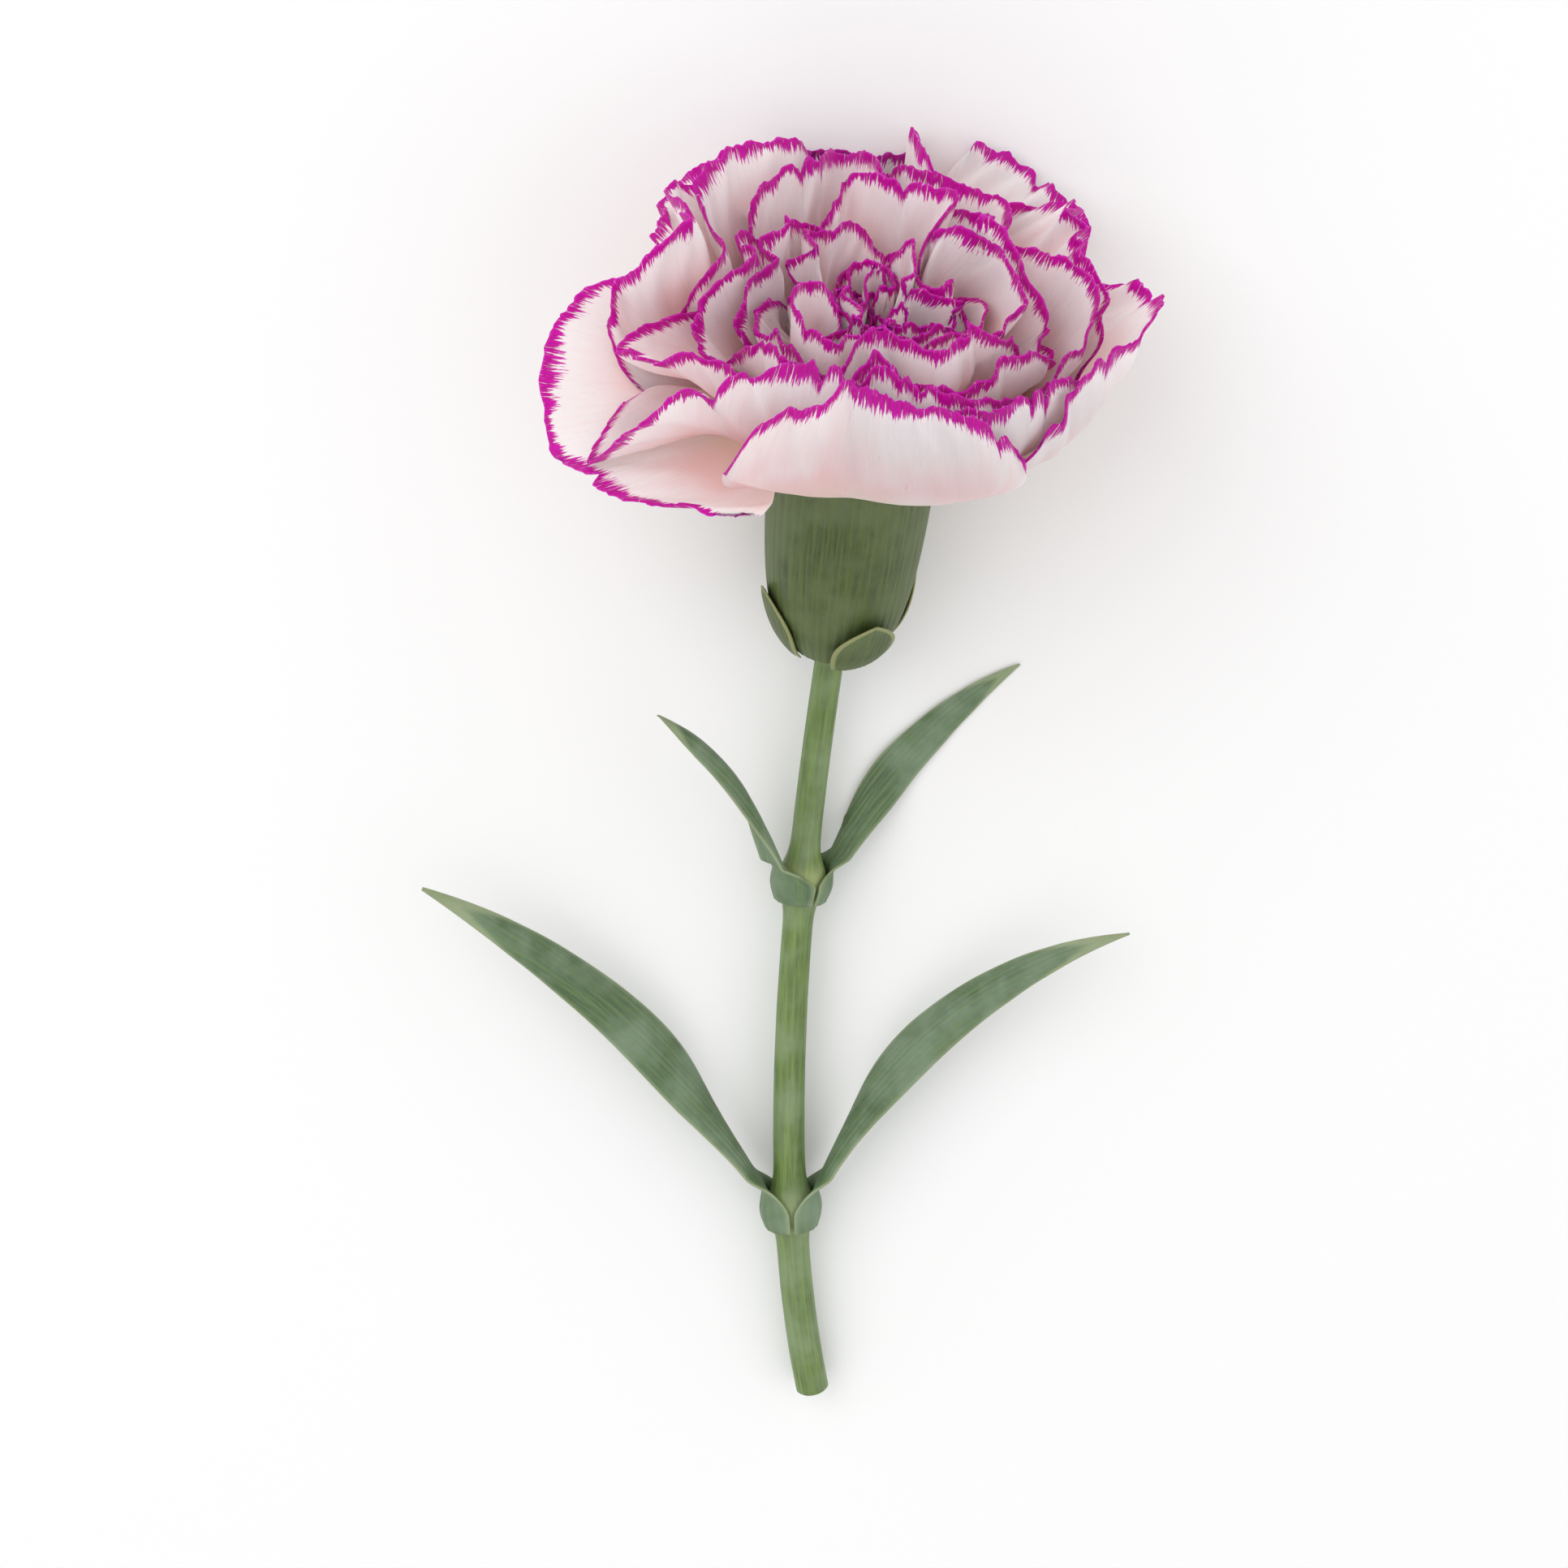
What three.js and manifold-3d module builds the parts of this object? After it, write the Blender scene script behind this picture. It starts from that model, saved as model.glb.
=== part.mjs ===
// A cut carnation that lies on a flat surface: a full double bloom in its calyx, on a short leafy stem.
// Millimetres, +Z up. The stem runs along Y with the bloom at the +Y end, and the origin is the middle of
// the footprint, on the surface that the flower lies on.
import * as THREE from "three";
import { mergeVertices } from "three/addons/utils/BufferGeometryUtils.js";
import Module from "manifold-3d";

const { sin, cos, abs, atan2, hypot, min, max, PI, exp } = Math;
const degrees = (d) => (d * PI) / 180;
const mix = (a, b, f) => a + (b - a) * f;
const ease = (from, to, x) => THREE.MathUtils.smoothstep(x, from, to);

// ---- Driving dimensions -------------------------------------------------------------------------

const clearance = 0.3; // between pieces that touch on the real flower

const bloom = {
  tilt: degrees(24), // how far the face looks up from the horizontal
  turn: degrees(5), // how far it is turned from the line of the stem
  pressed: 2, // how far the lowest petals give where they rest
  give: 3, // the height over which they flatten out
};

const petal = {
  thickness: 0.26,
  clawWidth: 2.0, // the strap that runs down inside the calyx
  clawGap: 0.14, // between one ring of claws and the next at their feet
  mouthGap: 0.44, // and at the calyx mouth
  clawDepth: 16, // how far the claws reach below the calyx mouth
  overlap: 0.4, // how far a petal's side lies over its neighbour, as a share of the room of its ring
};

// The rings of petals from the outermost to the innermost. length is measured from the calyx mouth,
// reach is the half angle that one petal spans round the bloom, and columns and rows are its facets.
const rings = [
  { count: 5, length: 30.5, width: 36, reach: degrees(48), turn: degrees(0), columns: 12, rows: 8 },
  { count: 5, length: 30.0, width: 35, reach: degrees(53), turn: degrees(38), columns: 10, rows: 7 },
  { count: 5, length: 29.0, width: 33, reach: degrees(58), turn: degrees(10), columns: 8, rows: 7 },
  { count: 5, length: 27.0, width: 31, reach: degrees(62), turn: degrees(50), columns: 8, rows: 6 },
  { count: 5, length: 24.0, width: 26, reach: degrees(64), turn: degrees(20), columns: 8, rows: 6 },
  { count: 5, length: 21.0, width: 22, reach: degrees(66), turn: degrees(60), columns: 8, rows: 6 },
  { count: 5, length: 19.5, width: 18, reach: degrees(62), turn: degrees(31), columns: 8, rows: 5 },
  { count: 5, length: 19.0, width: 14, reach: degrees(60), turn: degrees(5), columns: 6, rows: 5 },
  { count: 4, length: 18.0, width: 10, reach: degrees(64), turn: degrees(48), columns: 6, rows: 5 },
];

// A petal's lean away from the bloom's axis at its belly and at its tip, ring by ring from the upright
// core out to the guard ring: where the bloom is open, and in front, where its petals cup over it.
const lean = {
  mouth: [0, 10].map(degrees),
  openBelly: [3, 8, 14, 22, 31, 40, 48, 54, 60].map(degrees),
  openTip: [-4, -3, -1, 2, 6, 14, 28, 46, 66].map(degrees),
  cuppedBelly: [3, 8, 16, 28, 44, 60, 74, 84, 92].map(degrees),
  cuppedTip: [-4, -5, -6, -8, -10, -13, -15, -14, -10].map(degrees),
  cuppedAt: degrees(-72), // the middle of the cupped front
  cuppedEdges: [-0.1, 0.78], // cosines of the angles from there where it starts and is full
  length: 28, // the blade length over which the lean develops
};

// One side of the guard ring hangs down, most of all at this angle.
const droop = {
  at: degrees(-137),
  edges: [0.75, 1], // cosines, as for the cupped front
  cups: [0.84, 0.98], // how far in it reaches
  belly: degrees(15),
  tip: degrees(55),
};

const calyx = {
  length: 27, // from its base to its mouth
  wall: 0.7,
  baseRadius: 4.4,
  taper: 0.45, // how much of the narrowing is gradual; the rest is the rounding of the foot
  teeth: 5,
  toothLength: 5.5,
};

const pistil = {
  ovaryRadius: 1.7,
  ovaryHeight: 8.5,
  styleRadius: 0.4,
  styleLength: 16,
  styleSpread: 0.7, // from the axis to the middle of each of the two styles
};

// The small scales that clasp the foot of the calyx, in crossed pairs.
const bract = {
  length: 9,
  width: 7.4,
  thickness: 0.4,
  shoulder: 0.45, // where it is widest, as a share of its length
  pairs: 2,
  spacing: 0.9, // from one pair to the next
  above: 0.6, // from the foot of the calyx to the foot of a bract
  turn: degrees(20),
};

const stem = {
  run: 92, // along the surface, from the cut end to the foot of the calyx
  radius: 1.9,
  neckRadius: 1.6,
  nodeRadius: 2.8,
  nodeLength: 5,
  nodes: [24, 64], // from the cut end
  bow: 7, // how far the stem bows sideways
  rise: 3.6, // how far it lifts off the surface past the cut end
  neckBend: 9, // how much of the neck turns up to the bloom
};

// Leaves in pairs: which stem node, and in degrees the angle round the stem and how the blade bends away
// and turns over on its way to the tip.
const leaves = [
  { node: 0, length: 58, width: 6.0, roll: 10, lift: 24, curl: 34, twist: -70 },
  { node: 0, length: 52, width: 5.6, roll: 174, lift: 20, curl: 56, twist: 60 },
  { node: 1, length: 30, width: 4.6, roll: 38, lift: 22, curl: 40, twist: -40 },
  { node: 1, length: 34, width: 4.8, roll: 204, lift: 24, curl: 32, twist: 60 },
];
const leaf = {
  thickness: 0.5,
  channel: 1.0, // how deep the blade is folded along its middle
  shoulder: 0.3, // where it is widest, as a share of its length
  give: 2.5, // the height over which its tip flattens out where it rests
};

// ---- Materials ----------------------------------------------------------------------------------

const matte = (color, roughness) => new THREE.MeshStandardMaterial({ color, roughness, metalness: 0 });
const petalFinish = matte(0xefdfda, 0.55);
const sepalFinish = matte(0x5e7a45, 0.5);
const leafFinish = matte(0x71896a, 0.55);
const stemFinish = matte(0x7d9a62, 0.5);
const pistilFinish = matte(0xd8dfae, 0.5);

// ---- Shared geometry ----------------------------------------------------------------------------

// A thin closed sheet of even thickness on either side of surface(u, v), with u and v from 0 to 1.
function sheet(surface, thickness, across, along) {
  const box = new THREE.BoxGeometry(1, 1, 1, across, along, 1);
  const at = box.attributes.position;
  const step = 1e-3;
  for (let i = 0; i < at.count; i++) {
    const u = at.getX(i) + 0.5;
    const v = at.getY(i) + 0.5;
    const here = surface(u, v);
    const du = surface(min(u + step, 1), v).sub(surface(max(u - step, 0), v));
    const dv = surface(u, min(v + step, 1)).sub(surface(u, max(v - step, 0)));
    const normal = du.cross(dv).normalize();
    here.addScaledVector(normal, at.getZ(i) * thickness);
    at.setXYZ(i, here.x, here.y, here.z);
  }
  box.computeVertexNormals();
  return box;
}

// Moves every vertex of a geometry by place(point), and turns the faces round where that mirrors them.
function reshape(geometry, place) {
  const at = geometry.attributes.position;
  for (let i = 0; i < at.count; i++) {
    const p = place(new THREE.Vector3().fromBufferAttribute(at, i));
    at.setXYZ(i, p.x, p.y, p.z);
  }
  geometry.computeVertexNormals();
  return geometry;
}

function lathe(profile, segments) {
  return new THREE.LatheGeometry(
    profile.map(([radius, height]) => new THREE.Vector2(radius, height)),
    segments,
  ).rotateX(PI / 2);
}

function named(name, geometry, material) {
  const mesh = new THREE.Mesh(geometry, material);
  mesh.name = name;
  return mesh;
}

// Smoothly follows the values in stops, which are evenly spaced over f from 0 to 1.
function through(stops, f) {
  const place = THREE.MathUtils.clamp(f, 0, 1) * (stops.length - 1);
  const i = min(Math.floor(place), stops.length - 2);
  return mix(stops[i], stops[i + 1], place - i);
}

// ---- The bloom's nested cups --------------------------------------------------------------------
// Every petal lies on a family of nested cups round the bloom's axis. cup is 0 on the axis and 1 on the
// outermost, and two petals with different cup values at the same place can't meet.

const ringPitch = 1 / rings.length;
const footSpan = rings.length * (petal.thickness + petal.clawGap);
const mouthSpan = rings.length * (petal.thickness + petal.mouthGap);
const coreRadius = pistil.styleSpread + pistil.styleRadius + clearance + petal.thickness / 2;
const clawFootRadius = pistil.ovaryRadius + clearance + petal.thickness / 2;
const mouthRadius = (cup) => coreRadius + mouthSpan * cup;
const footRadius = (cup) => clawFootRadius + footSpan * cup;

// The lean at a distance s above the mouth, on the side of the bloom that angle gives.
function leanAt(cup, angle, s) {
  const x = s / lean.length;
  const ring = (cup * rings.length - 0.5) / (rings.length - 1);
  const cupped = ease(...lean.cuppedEdges, cos(angle - lean.cuppedAt));
  const drooping = ease(...droop.edges, cos(angle - droop.at)) * ease(...droop.cups, cup);
  const mouth = mix(...lean.mouth, cup);
  const belly =
    mix(through(lean.openBelly, ring), through(lean.cuppedBelly, ring), cupped) + drooping * droop.belly;
  const tip = mix(through(lean.openTip, ring), through(lean.cuppedTip, ring), cupped) + drooping * droop.tip;
  return mouth + (belly - mouth) * ease(0, 0.42, x) + (tip - belly) * ease(0.35, 1.05, x);
}

// Radius and height of a cup at the distance s above the calyx mouth; s is negative inside the calyx.
function cupProfile(cup, angle, s) {
  if (s <= 0) {
    const f = min(-s / petal.clawDepth, 1);
    return [mix(mouthRadius(cup), footRadius(cup), f), s];
  }
  const pieces = 16;
  let radius = mouthRadius(cup);
  let height = 0;
  for (let i = 0; i < pieces; i++) {
    const leaning = leanAt(cup, angle, (s * (i + 0.5)) / pieces);
    radius += (sin(leaning) * s) / pieces;
    height += (cos(leaning) * s) / pieces;
  }
  return [radius, height];
}

function onCup(cup, angle, s) {
  const [radius, height] = cupProfile(cup, angle, s);
  return new THREE.Vector3(radius * cos(angle), radius * sin(angle), height);
}

// ---- Petals -------------------------------------------------------------------------------------

// A fixed, repeatable spread of values from -1 to 1, so that no two petals are alike.
const varied = (seed) => 2 * THREE.MathUtils.euclideanModulo(sin(seed * 12.9898) * 43758.5453, 1) - 1;

// One petal's middle surface in the bloom's frame. u runs across it and v from the claw's foot to the tip.
function petalSurface(ringIndex, index) {
  const ring = rings[ringIndex];
  const seed = ringIndex * 10 + index + 1;
  const spacing = (2 * PI) / ring.count;
  const heading = ring.turn + spacing * (index + 0.09 * varied(seed)) - PI / 2;
  const length = ring.length * (1 + 0.05 * varied(seed + 50));
  const halfWidth = (ring.width / 2) * (1 + 0.06 * varied(seed + 90));
  const middleCup = 1 - ringPitch * (ringIndex + 0.5);
  const slope = (ringPitch * petal.overlap) / ring.reach;
  const mouthAt = 1 / (1 + ring.rows);
  return (u, v) => {
    const side = 2 * u - 1;
    const f = max((v - mouthAt) / (1 - mouthAt), 0);
    const rounded = 1 - 0.3 * abs(side) ** 2.4 * f * f;
    const s = v < mouthAt ? (v / mouthAt - 1) * petal.clawDepth : length * f * rounded;
    const [radius] = cupProfile(middleCup, PI / 2, v < mouthAt ? s : length * f);
    const half = mix(petal.clawWidth / 2, halfWidth, ease(0.08, 0.85, f));
    const across = min(half / radius, ring.reach) * side;
    return onCup(middleCup + slope * across, heading + across, s);
  };
}

// ---- Where everything lies ----------------------------------------------------------------------

const facing = new THREE.Vector3(
  sin(bloom.turn) * cos(bloom.tilt),
  cos(bloom.turn) * cos(bloom.tilt),
  sin(bloom.tilt),
);
const bloomTurn = new THREE.Quaternion().setFromUnitVectors(new THREE.Vector3(0, 0, 1), facing);

// The lowest height that any of the surfaces comes down to, each first placed by place(point).
function lowestOf(surfaces, place) {
  let lowest = Infinity;
  const steps = 20;
  for (const surface of surfaces) {
    for (let i = 0; i <= steps; i++) {
      for (let j = 0; j <= steps; j++) lowest = min(lowest, place(surface(i / steps, j / steps)).z);
    }
  }
  return lowest;
}

// Petals and leaves give way as they come down on the surface: what would reach from the height give
// down to deepest is flattened into the room above rest.
function settle(point, give, deepest, rest) {
  if (point.z < rest + give && deepest < rest) {
    const depth = rest + give - deepest;
    point.z = rest + give * max((point.z - deepest) / depth, 0) ** (depth / give);
  }
  return point;
}

// Closed solids, for the pieces that are joined from several.
const wasm = await Module();
wasm.setup();
function solid(geometry) {
  const plain = new THREE.BufferGeometry().setIndex(geometry.index);
  plain.setAttribute("position", geometry.attributes.position);
  const merged = mergeVertices(plain, 1e-5);
  const mesh = new wasm.Mesh({
    numProp: 3,
    vertProperties: new Float32Array(merged.attributes.position.array),
    triVerts: new Uint32Array(merged.index.array),
  });
  mesh.merge();
  return new wasm.Manifold(mesh);
}
function geometryOf(made) {
  const mesh = made.getMesh();
  const geometry = new THREE.BufferGeometry();
  geometry.setAttribute("position", new THREE.BufferAttribute(mesh.vertProperties, 3));
  geometry.setIndex(new THREE.BufferAttribute(mesh.triVerts, 1));
  geometry.computeVertexNormals();
  return geometry;
}

// ---- Petals in their places ---------------------------------------------------------------------

const petals = rings.flatMap((ring, r) =>
  Array.from({ length: ring.count }, (_, i) => ({
    name: `petal_${r + 1}_${i + 1}`,
    surface: petalSurface(r, i),
    ring,
  })),
);
const petalRest = petal.thickness / 2;
const reach = -lowestOf(petals.map((p) => p.surface), (p) => p.applyQuaternion(bloomTurn));
const mouth = new THREE.Vector3(0, 0, reach - bloom.pressed + petalRest);
const toWorld = new THREE.Matrix4().compose(mouth, bloomTurn, new THREE.Vector3(1, 1, 1));
const fromWorld = toWorld.clone().invert();

const bloomGroup = new THREE.Group();
bloomGroup.position.copy(mouth);
bloomGroup.quaternion.copy(bloomTurn);

for (const { name, surface, ring } of petals) {
  const settled = (u, v) => {
    const point = surface(u, v).applyMatrix4(toWorld);
    return settle(point, bloom.give, petalRest - bloom.pressed, petalRest).applyMatrix4(fromWorld);
  };
  bloomGroup.add(named(name, sheet(settled, petal.thickness, ring.columns, 1 + ring.rows), petalFinish));
}

// ---- Calyx, bracts and pistil -------------------------------------------------------------------

const calyxInside = mouthRadius(1) + petal.thickness / 2 + clearance; // at the mouth
const throat = stem.neckRadius + clearance; // the hole in the foot of the calyx that the stem fills

// The calyx's outer radius at a height below its mouth, from the rounded foot to the straight mouth.
function calyxOutside(height) {
  const f = -height / calyx.length;
  return mix(calyxInside + calyx.wall, calyx.baseRadius, calyx.taper * f * f + (1 - calyx.taper) * f ** 9);
}

// The teeth stand above the mouth and lean out with the petals behind which they lie.
function toothed(p) {
  if (p.z <= 0) return p;
  const angle = atan2(p.y, p.x);
  const across = abs(2 * THREE.MathUtils.euclideanModulo((angle * calyx.teeth) / (2 * PI), 1) - 1);
  const s = p.z * mix(1, 0.1, across);
  const offset = hypot(p.x, p.y) - mouthRadius(1);
  const [radius, height] = cupProfile(1, angle, s);
  const leaning = leanAt(1, angle, s);
  const r = radius + offset * cos(leaning);
  return new THREE.Vector3(r * cos(angle), r * sin(angle), height - offset * sin(leaning));
}

const steps = [1, 0.96, 0.88, 0.7, 0.45, 0.2, 0];
const heights = steps.map((f) => -f * calyx.length);
const outside = heights.map((h) => [calyxOutside(h), h]);
const insideFoot = calyx.wall - calyx.length;
const inside = heights.map((h) => [calyxOutside(h) - calyx.wall, max(h, insideFoot)]).reverse();
const toothRoot = calyx.toothLength / 2;
const calyxProfile = [
  [throat, -calyx.length],
  ...outside,
  [calyxInside + calyx.wall, toothRoot],
  [calyxInside + calyx.wall / 2, calyx.toothLength],
  [calyxInside, toothRoot],
  ...inside,
  [throat, insideFoot],
  [throat, -calyx.length],
];
bloomGroup.add(named("calyx", reshape(lathe(calyxProfile, 6 * calyx.teeth), toothed), sepalFinish));

// A bract lies on the calyx and is as wide as it is long, with a drawn-out tip.
function bractSurface(layer, heading) {
  return (u, v) => {
    const height = -calyx.length + bract.above + bract.length * v;
    const spread = bract.spacing * layer * mix(0.35, 0.95, v);
    const radius = calyxOutside(height) + clearance + bract.thickness / 2 + spread;
    const lower = mix(0.75, 1, v / bract.shoulder);
    const upper = mix(1, 0.04, max((v - bract.shoulder) / (1 - bract.shoulder), 0) ** 1.5);
    const half = (bract.width / 2) * (v < bract.shoulder ? lower : upper);
    const angle = heading + ((2 * u - 1) * half) / radius;
    return new THREE.Vector3(radius * cos(angle), radius * sin(angle), height);
  };
}
for (let pair = 0; pair < bract.pairs; pair++) {
  for (const [side, half] of [["a", 0], ["b", PI]]) {
    const surface = bractSurface(pair, bract.turn + half + (pair * PI) / 2);
    bloomGroup.add(named(`bract_${pair + 1}${side}`, sheet(surface, bract.thickness, 6, 5), sepalFinish));
  }
}

// The ovary stands on the receptacle among the claws, and its two styles run up the middle of the bloom.
const ovaryFoot = clearance - petal.clawDepth;
const ovary = lathe(
  [
    [0, 0],
    [0.75, 0],
    [1, 0.25],
    [0.85, 0.65],
    [0.55, 1],
    [0, 1],
  ].map(([r, h]) => [r * pistil.ovaryRadius, ovaryFoot + h * pistil.ovaryHeight]),
  12,
);
const style = new THREE.CylinderGeometry(pistil.styleRadius * 0.6, pistil.styleRadius, pistil.styleLength, 8)
  .rotateX(PI / 2)
  .translate(0, 0, ovaryFoot + pistil.ovaryHeight - 1 + pistil.styleLength / 2);
const styles = [-1, 1].map((side) => solid(style.clone().translate(side * pistil.styleSpread, 0, 0)));
const wholePistil = solid(ovary).add(styles[0]).add(styles[1]);
bloomGroup.add(named("pistil", geometryOf(wholePistil), pistilFinish));

// ---- Stem and leaves ----------------------------------------------------------------------------

const neck = mouth.clone().addScaledVector(facing, -calyx.length);
const cutEnd = new THREE.Vector3(-stem.bow * 0.4, neck.y - stem.run, stem.radius);
const stemPath = new THREE.CubicBezierCurve3(
  cutEnd,
  cutEnd.clone().add(new THREE.Vector3(-stem.bow, stem.run * 0.4, stem.rise)),
  neck.clone().addScaledVector(facing, -stem.neckBend),
  neck,
);
const pathLength = stemPath.getLength();
const receptacleTop = pathLength + calyx.length - petal.clawDepth - clearance;

// The point and directions of the stem's middle line at a distance from the cut end.
function alongStem(distance) {
  const f = THREE.MathUtils.clamp(distance / pathLength, 0, 1);
  const tangent = stemPath.getTangentAt(f);
  const side = new THREE.Vector3(0, 0, 1).cross(tangent).normalize();
  const up = tangent.clone().cross(side);
  const point = stemPath.getPointAt(f).addScaledVector(tangent, max(distance - pathLength, 0));
  return { point, tangent, side, up };
}

function stemRadius(distance) {
  let radius = mix(stem.radius, stem.neckRadius, ease(0, pathLength, distance));
  for (const node of stem.nodes) {
    const away = (distance - node) / (stem.nodeLength / 2);
    radius = max(radius, mix(radius, stem.nodeRadius, exp(-away * away)));
  }
  return radius;
}

// The middle of the bloom's foot inside the calyx, which the claws and the ovary stand on.
const receptacleFoot = pathLength + calyx.wall + clearance;
const receptacleRadius = (distance) =>
  calyxOutside(distance - pathLength - calyx.length) - calyx.wall - 2 * clearance;
const stemRings = [0, 0.5];
for (let d = 3; d < pathLength - 2; d += 4) stemRings.push(d);
const stemProfile = [
  [0, 0],
  ...stemRings.map((d, i) => [stemRadius(d) - (i ? 0 : 0.25), d]),
  [stem.neckRadius, pathLength],
  [stem.neckRadius, receptacleFoot],
  ...[0.12, 0.45, 1].map((f) => mix(receptacleFoot, receptacleTop, f)).map((d) => [receptacleRadius(d), d]),
  [0, receptacleTop],
];
const flower = new THREE.Group();
flower.add(bloomGroup);
const bentStem = reshape(lathe(stemProfile, 12), (p) => {
  const { point, side, up } = alongStem(p.z);
  return point.addScaledVector(side, p.x).addScaledVector(up, p.y);
});
flower.add(named("stem", bentStem, stemFinish));

// A leaf springs from its node, hugs the stem with its foot and bends away from it along its length.
function leafSurface({ node, length, width, ...angles }) {
  const [roll, lift, curl, twist] = [angles.roll, angles.lift, angles.curl, angles.twist].map(degrees);
  const { point, tangent, side, up } = alongStem(stem.nodes[node]);
  const outward = side.clone().multiplyScalar(cos(roll)).addScaledVector(up, sin(roll));
  const across = tangent.clone().cross(outward);
  const foot = point.addScaledVector(outward, stem.nodeRadius + clearance + leaf.thickness / 2);
  const bend = (f) => lift * ease(0, 0.12, f) + curl * f;
  const pieces = 16;
  return (u, v) => {
    const here = foot.clone();
    for (let i = 0; i < pieces; i++) {
      const angle = bend((v * (i + 0.5)) / pieces);
      here.addScaledVector(tangent, (cos(angle) * length * v) / pieces);
      here.addScaledVector(outward, (sin(angle) * length * v) / pieces);
    }
    const ahead = tangent.clone().multiplyScalar(cos(bend(v))).addScaledVector(outward, sin(bend(v)));
    const turned = across.clone().applyAxisAngle(ahead, twist * ease(0.04, 0.5, v));
    const inward = turned.clone().cross(ahead);
    const lower = mix(0.85, 1, v / leaf.shoulder);
    const upper = mix(1, 0.05, max((v - leaf.shoulder) / (1 - leaf.shoulder), 0) ** 2.2);
    const half = (width / 2) * (v < leaf.shoulder ? lower : upper);
    const x = 2 * u - 1;
    here.addScaledVector(turned, half * x);
    return here.addScaledVector(inward, (leaf.channel * x * x * half) / (width / 2));
  };
}
const leafRest = leaf.thickness / 2;
leaves.forEach((shape, i) => {
  const surface = leafSurface(shape);
  const deepest = lowestOf([surface], (p) => p);
  const settled = (u, v) => settle(surface(u, v), leaf.give, deepest, leafRest);
  flower.add(named(`leaf_${i + 1}`, sheet(settled, leaf.thickness, 4, 12), leafFinish));
});

// The origin goes to the middle of the footprint.
const box = new THREE.Box3().setFromObject(flower, true);
const middle = box.getCenter(new THREE.Vector3());
flower.position.set(-middle.x, -middle.y, -box.min.z);

export default flower;
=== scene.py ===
"""A cut carnation lying on a surface: a full double bloom with toothed, coloured petal edges, on a leafy stem
with its calyx and bracts."""
import math

import bpy
import numpy as np
from mathutils import Matrix, Quaternion, Vector


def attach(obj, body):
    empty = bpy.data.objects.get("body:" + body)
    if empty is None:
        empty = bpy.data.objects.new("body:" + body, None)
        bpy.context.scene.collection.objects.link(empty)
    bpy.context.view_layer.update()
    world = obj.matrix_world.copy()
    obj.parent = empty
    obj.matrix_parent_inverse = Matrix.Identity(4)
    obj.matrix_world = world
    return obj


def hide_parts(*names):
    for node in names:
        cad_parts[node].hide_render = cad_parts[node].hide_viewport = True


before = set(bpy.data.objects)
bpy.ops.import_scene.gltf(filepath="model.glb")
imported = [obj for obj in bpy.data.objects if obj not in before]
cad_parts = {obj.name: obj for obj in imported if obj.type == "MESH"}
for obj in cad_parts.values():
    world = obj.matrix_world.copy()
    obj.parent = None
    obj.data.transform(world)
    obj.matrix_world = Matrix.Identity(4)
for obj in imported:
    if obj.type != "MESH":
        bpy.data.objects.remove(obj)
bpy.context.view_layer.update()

bl_info = {
    "name": "Cut carnation",
    "version": (1, 0, 0),
    "blender": (4, 5, 0),
    "location": "3D View > Sidebar > Carnation",
    "description": "Builds a cut carnation with frilled petals, calyx, stem and leaves",
    "category": "Add Mesh",
}

MM = 0.001
SEAM = 2e-8  # how close the two halves of a closed sheet's seam lie, in metres

# The rings of petals from the outermost to the innermost: how many, their length above the calyx mouth and
# their width in millimetres, the half angle that one spans, the turn of the ring, and how much its petals
# differ from each other.
RINGS = [
    {"count": 5, "length": 30.5, "width": 36, "reach": 48, "turn": 0, "stray": 0.8},
    {"count": 5, "length": 30.0, "width": 35, "reach": 53, "turn": 38, "stray": 0.8},
    {"count": 5, "length": 29.0, "width": 33, "reach": 58, "turn": 10, "stray": 0.8},
    {"count": 5, "length": 27.0, "width": 31, "reach": 62, "turn": 50, "stray": 0.9},
    {"count": 5, "length": 24.0, "width": 26, "reach": 64, "turn": 20, "stray": 1.1},
    {"count": 5, "length": 21.0, "width": 22, "reach": 66, "turn": 60, "stray": 1.3},
    {"count": 5, "length": 19.5, "width": 18, "reach": 62, "turn": 31, "stray": 1.4},
    {"count": 5, "length": 19.0, "width": 14, "reach": 60, "turn": 5, "stray": 1.4},
    {"count": 4, "length": 18.0, "width": 10, "reach": 64, "turn": 48, "stray": 1.3},
]
# How far a petal leans from the bloom's axis at its belly and at its tip, in degrees, from the innermost
# ring to the outermost, where the bloom is open and where its petals cup over it.
OPEN_BELLY = [3, 8, 14, 22, 31, 40, 48, 54, 60]
OPEN_TIP = [-4, -3, -1, 2, 6, 14, 28, 46, 66]
CUPPED_BELLY = [3, 8, 16, 28, 44, 60, 74, 84, 92]
CUPPED_TIP = [-4, -5, -6, -8, -10, -13, -15, -14, -10]
CUPPED_AT = math.radians(-72)
LEAN_LENGTH = 28.0
# The leaves in pairs: which stem node, the angle round the stem of the foot and of the blade, the length and
# width in millimetres, and how the blade bends away from the stem and turns over on its way to the tip.
LEAVES = [
    {"node": 0, "seat": math.radians(2), "roll": math.radians(10), "length": 58, "width": 6.0,
     "lift": math.radians(24), "curl": math.radians(34), "twist": math.radians(-70)},
    {"node": 0, "seat": math.radians(182), "roll": math.radians(174), "length": 52, "width": 5.6,
     "lift": math.radians(20), "curl": math.radians(56), "twist": math.radians(60)},
    {"node": 1, "seat": math.radians(31), "roll": math.radians(38), "length": 30, "width": 4.6,
     "lift": math.radians(22), "curl": math.radians(40), "twist": math.radians(-40)},
    {"node": 1, "seat": math.radians(211), "roll": math.radians(204), "length": 34, "width": 4.8,
     "lift": math.radians(24), "curl": math.radians(32), "twist": math.radians(60)},
]
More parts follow.
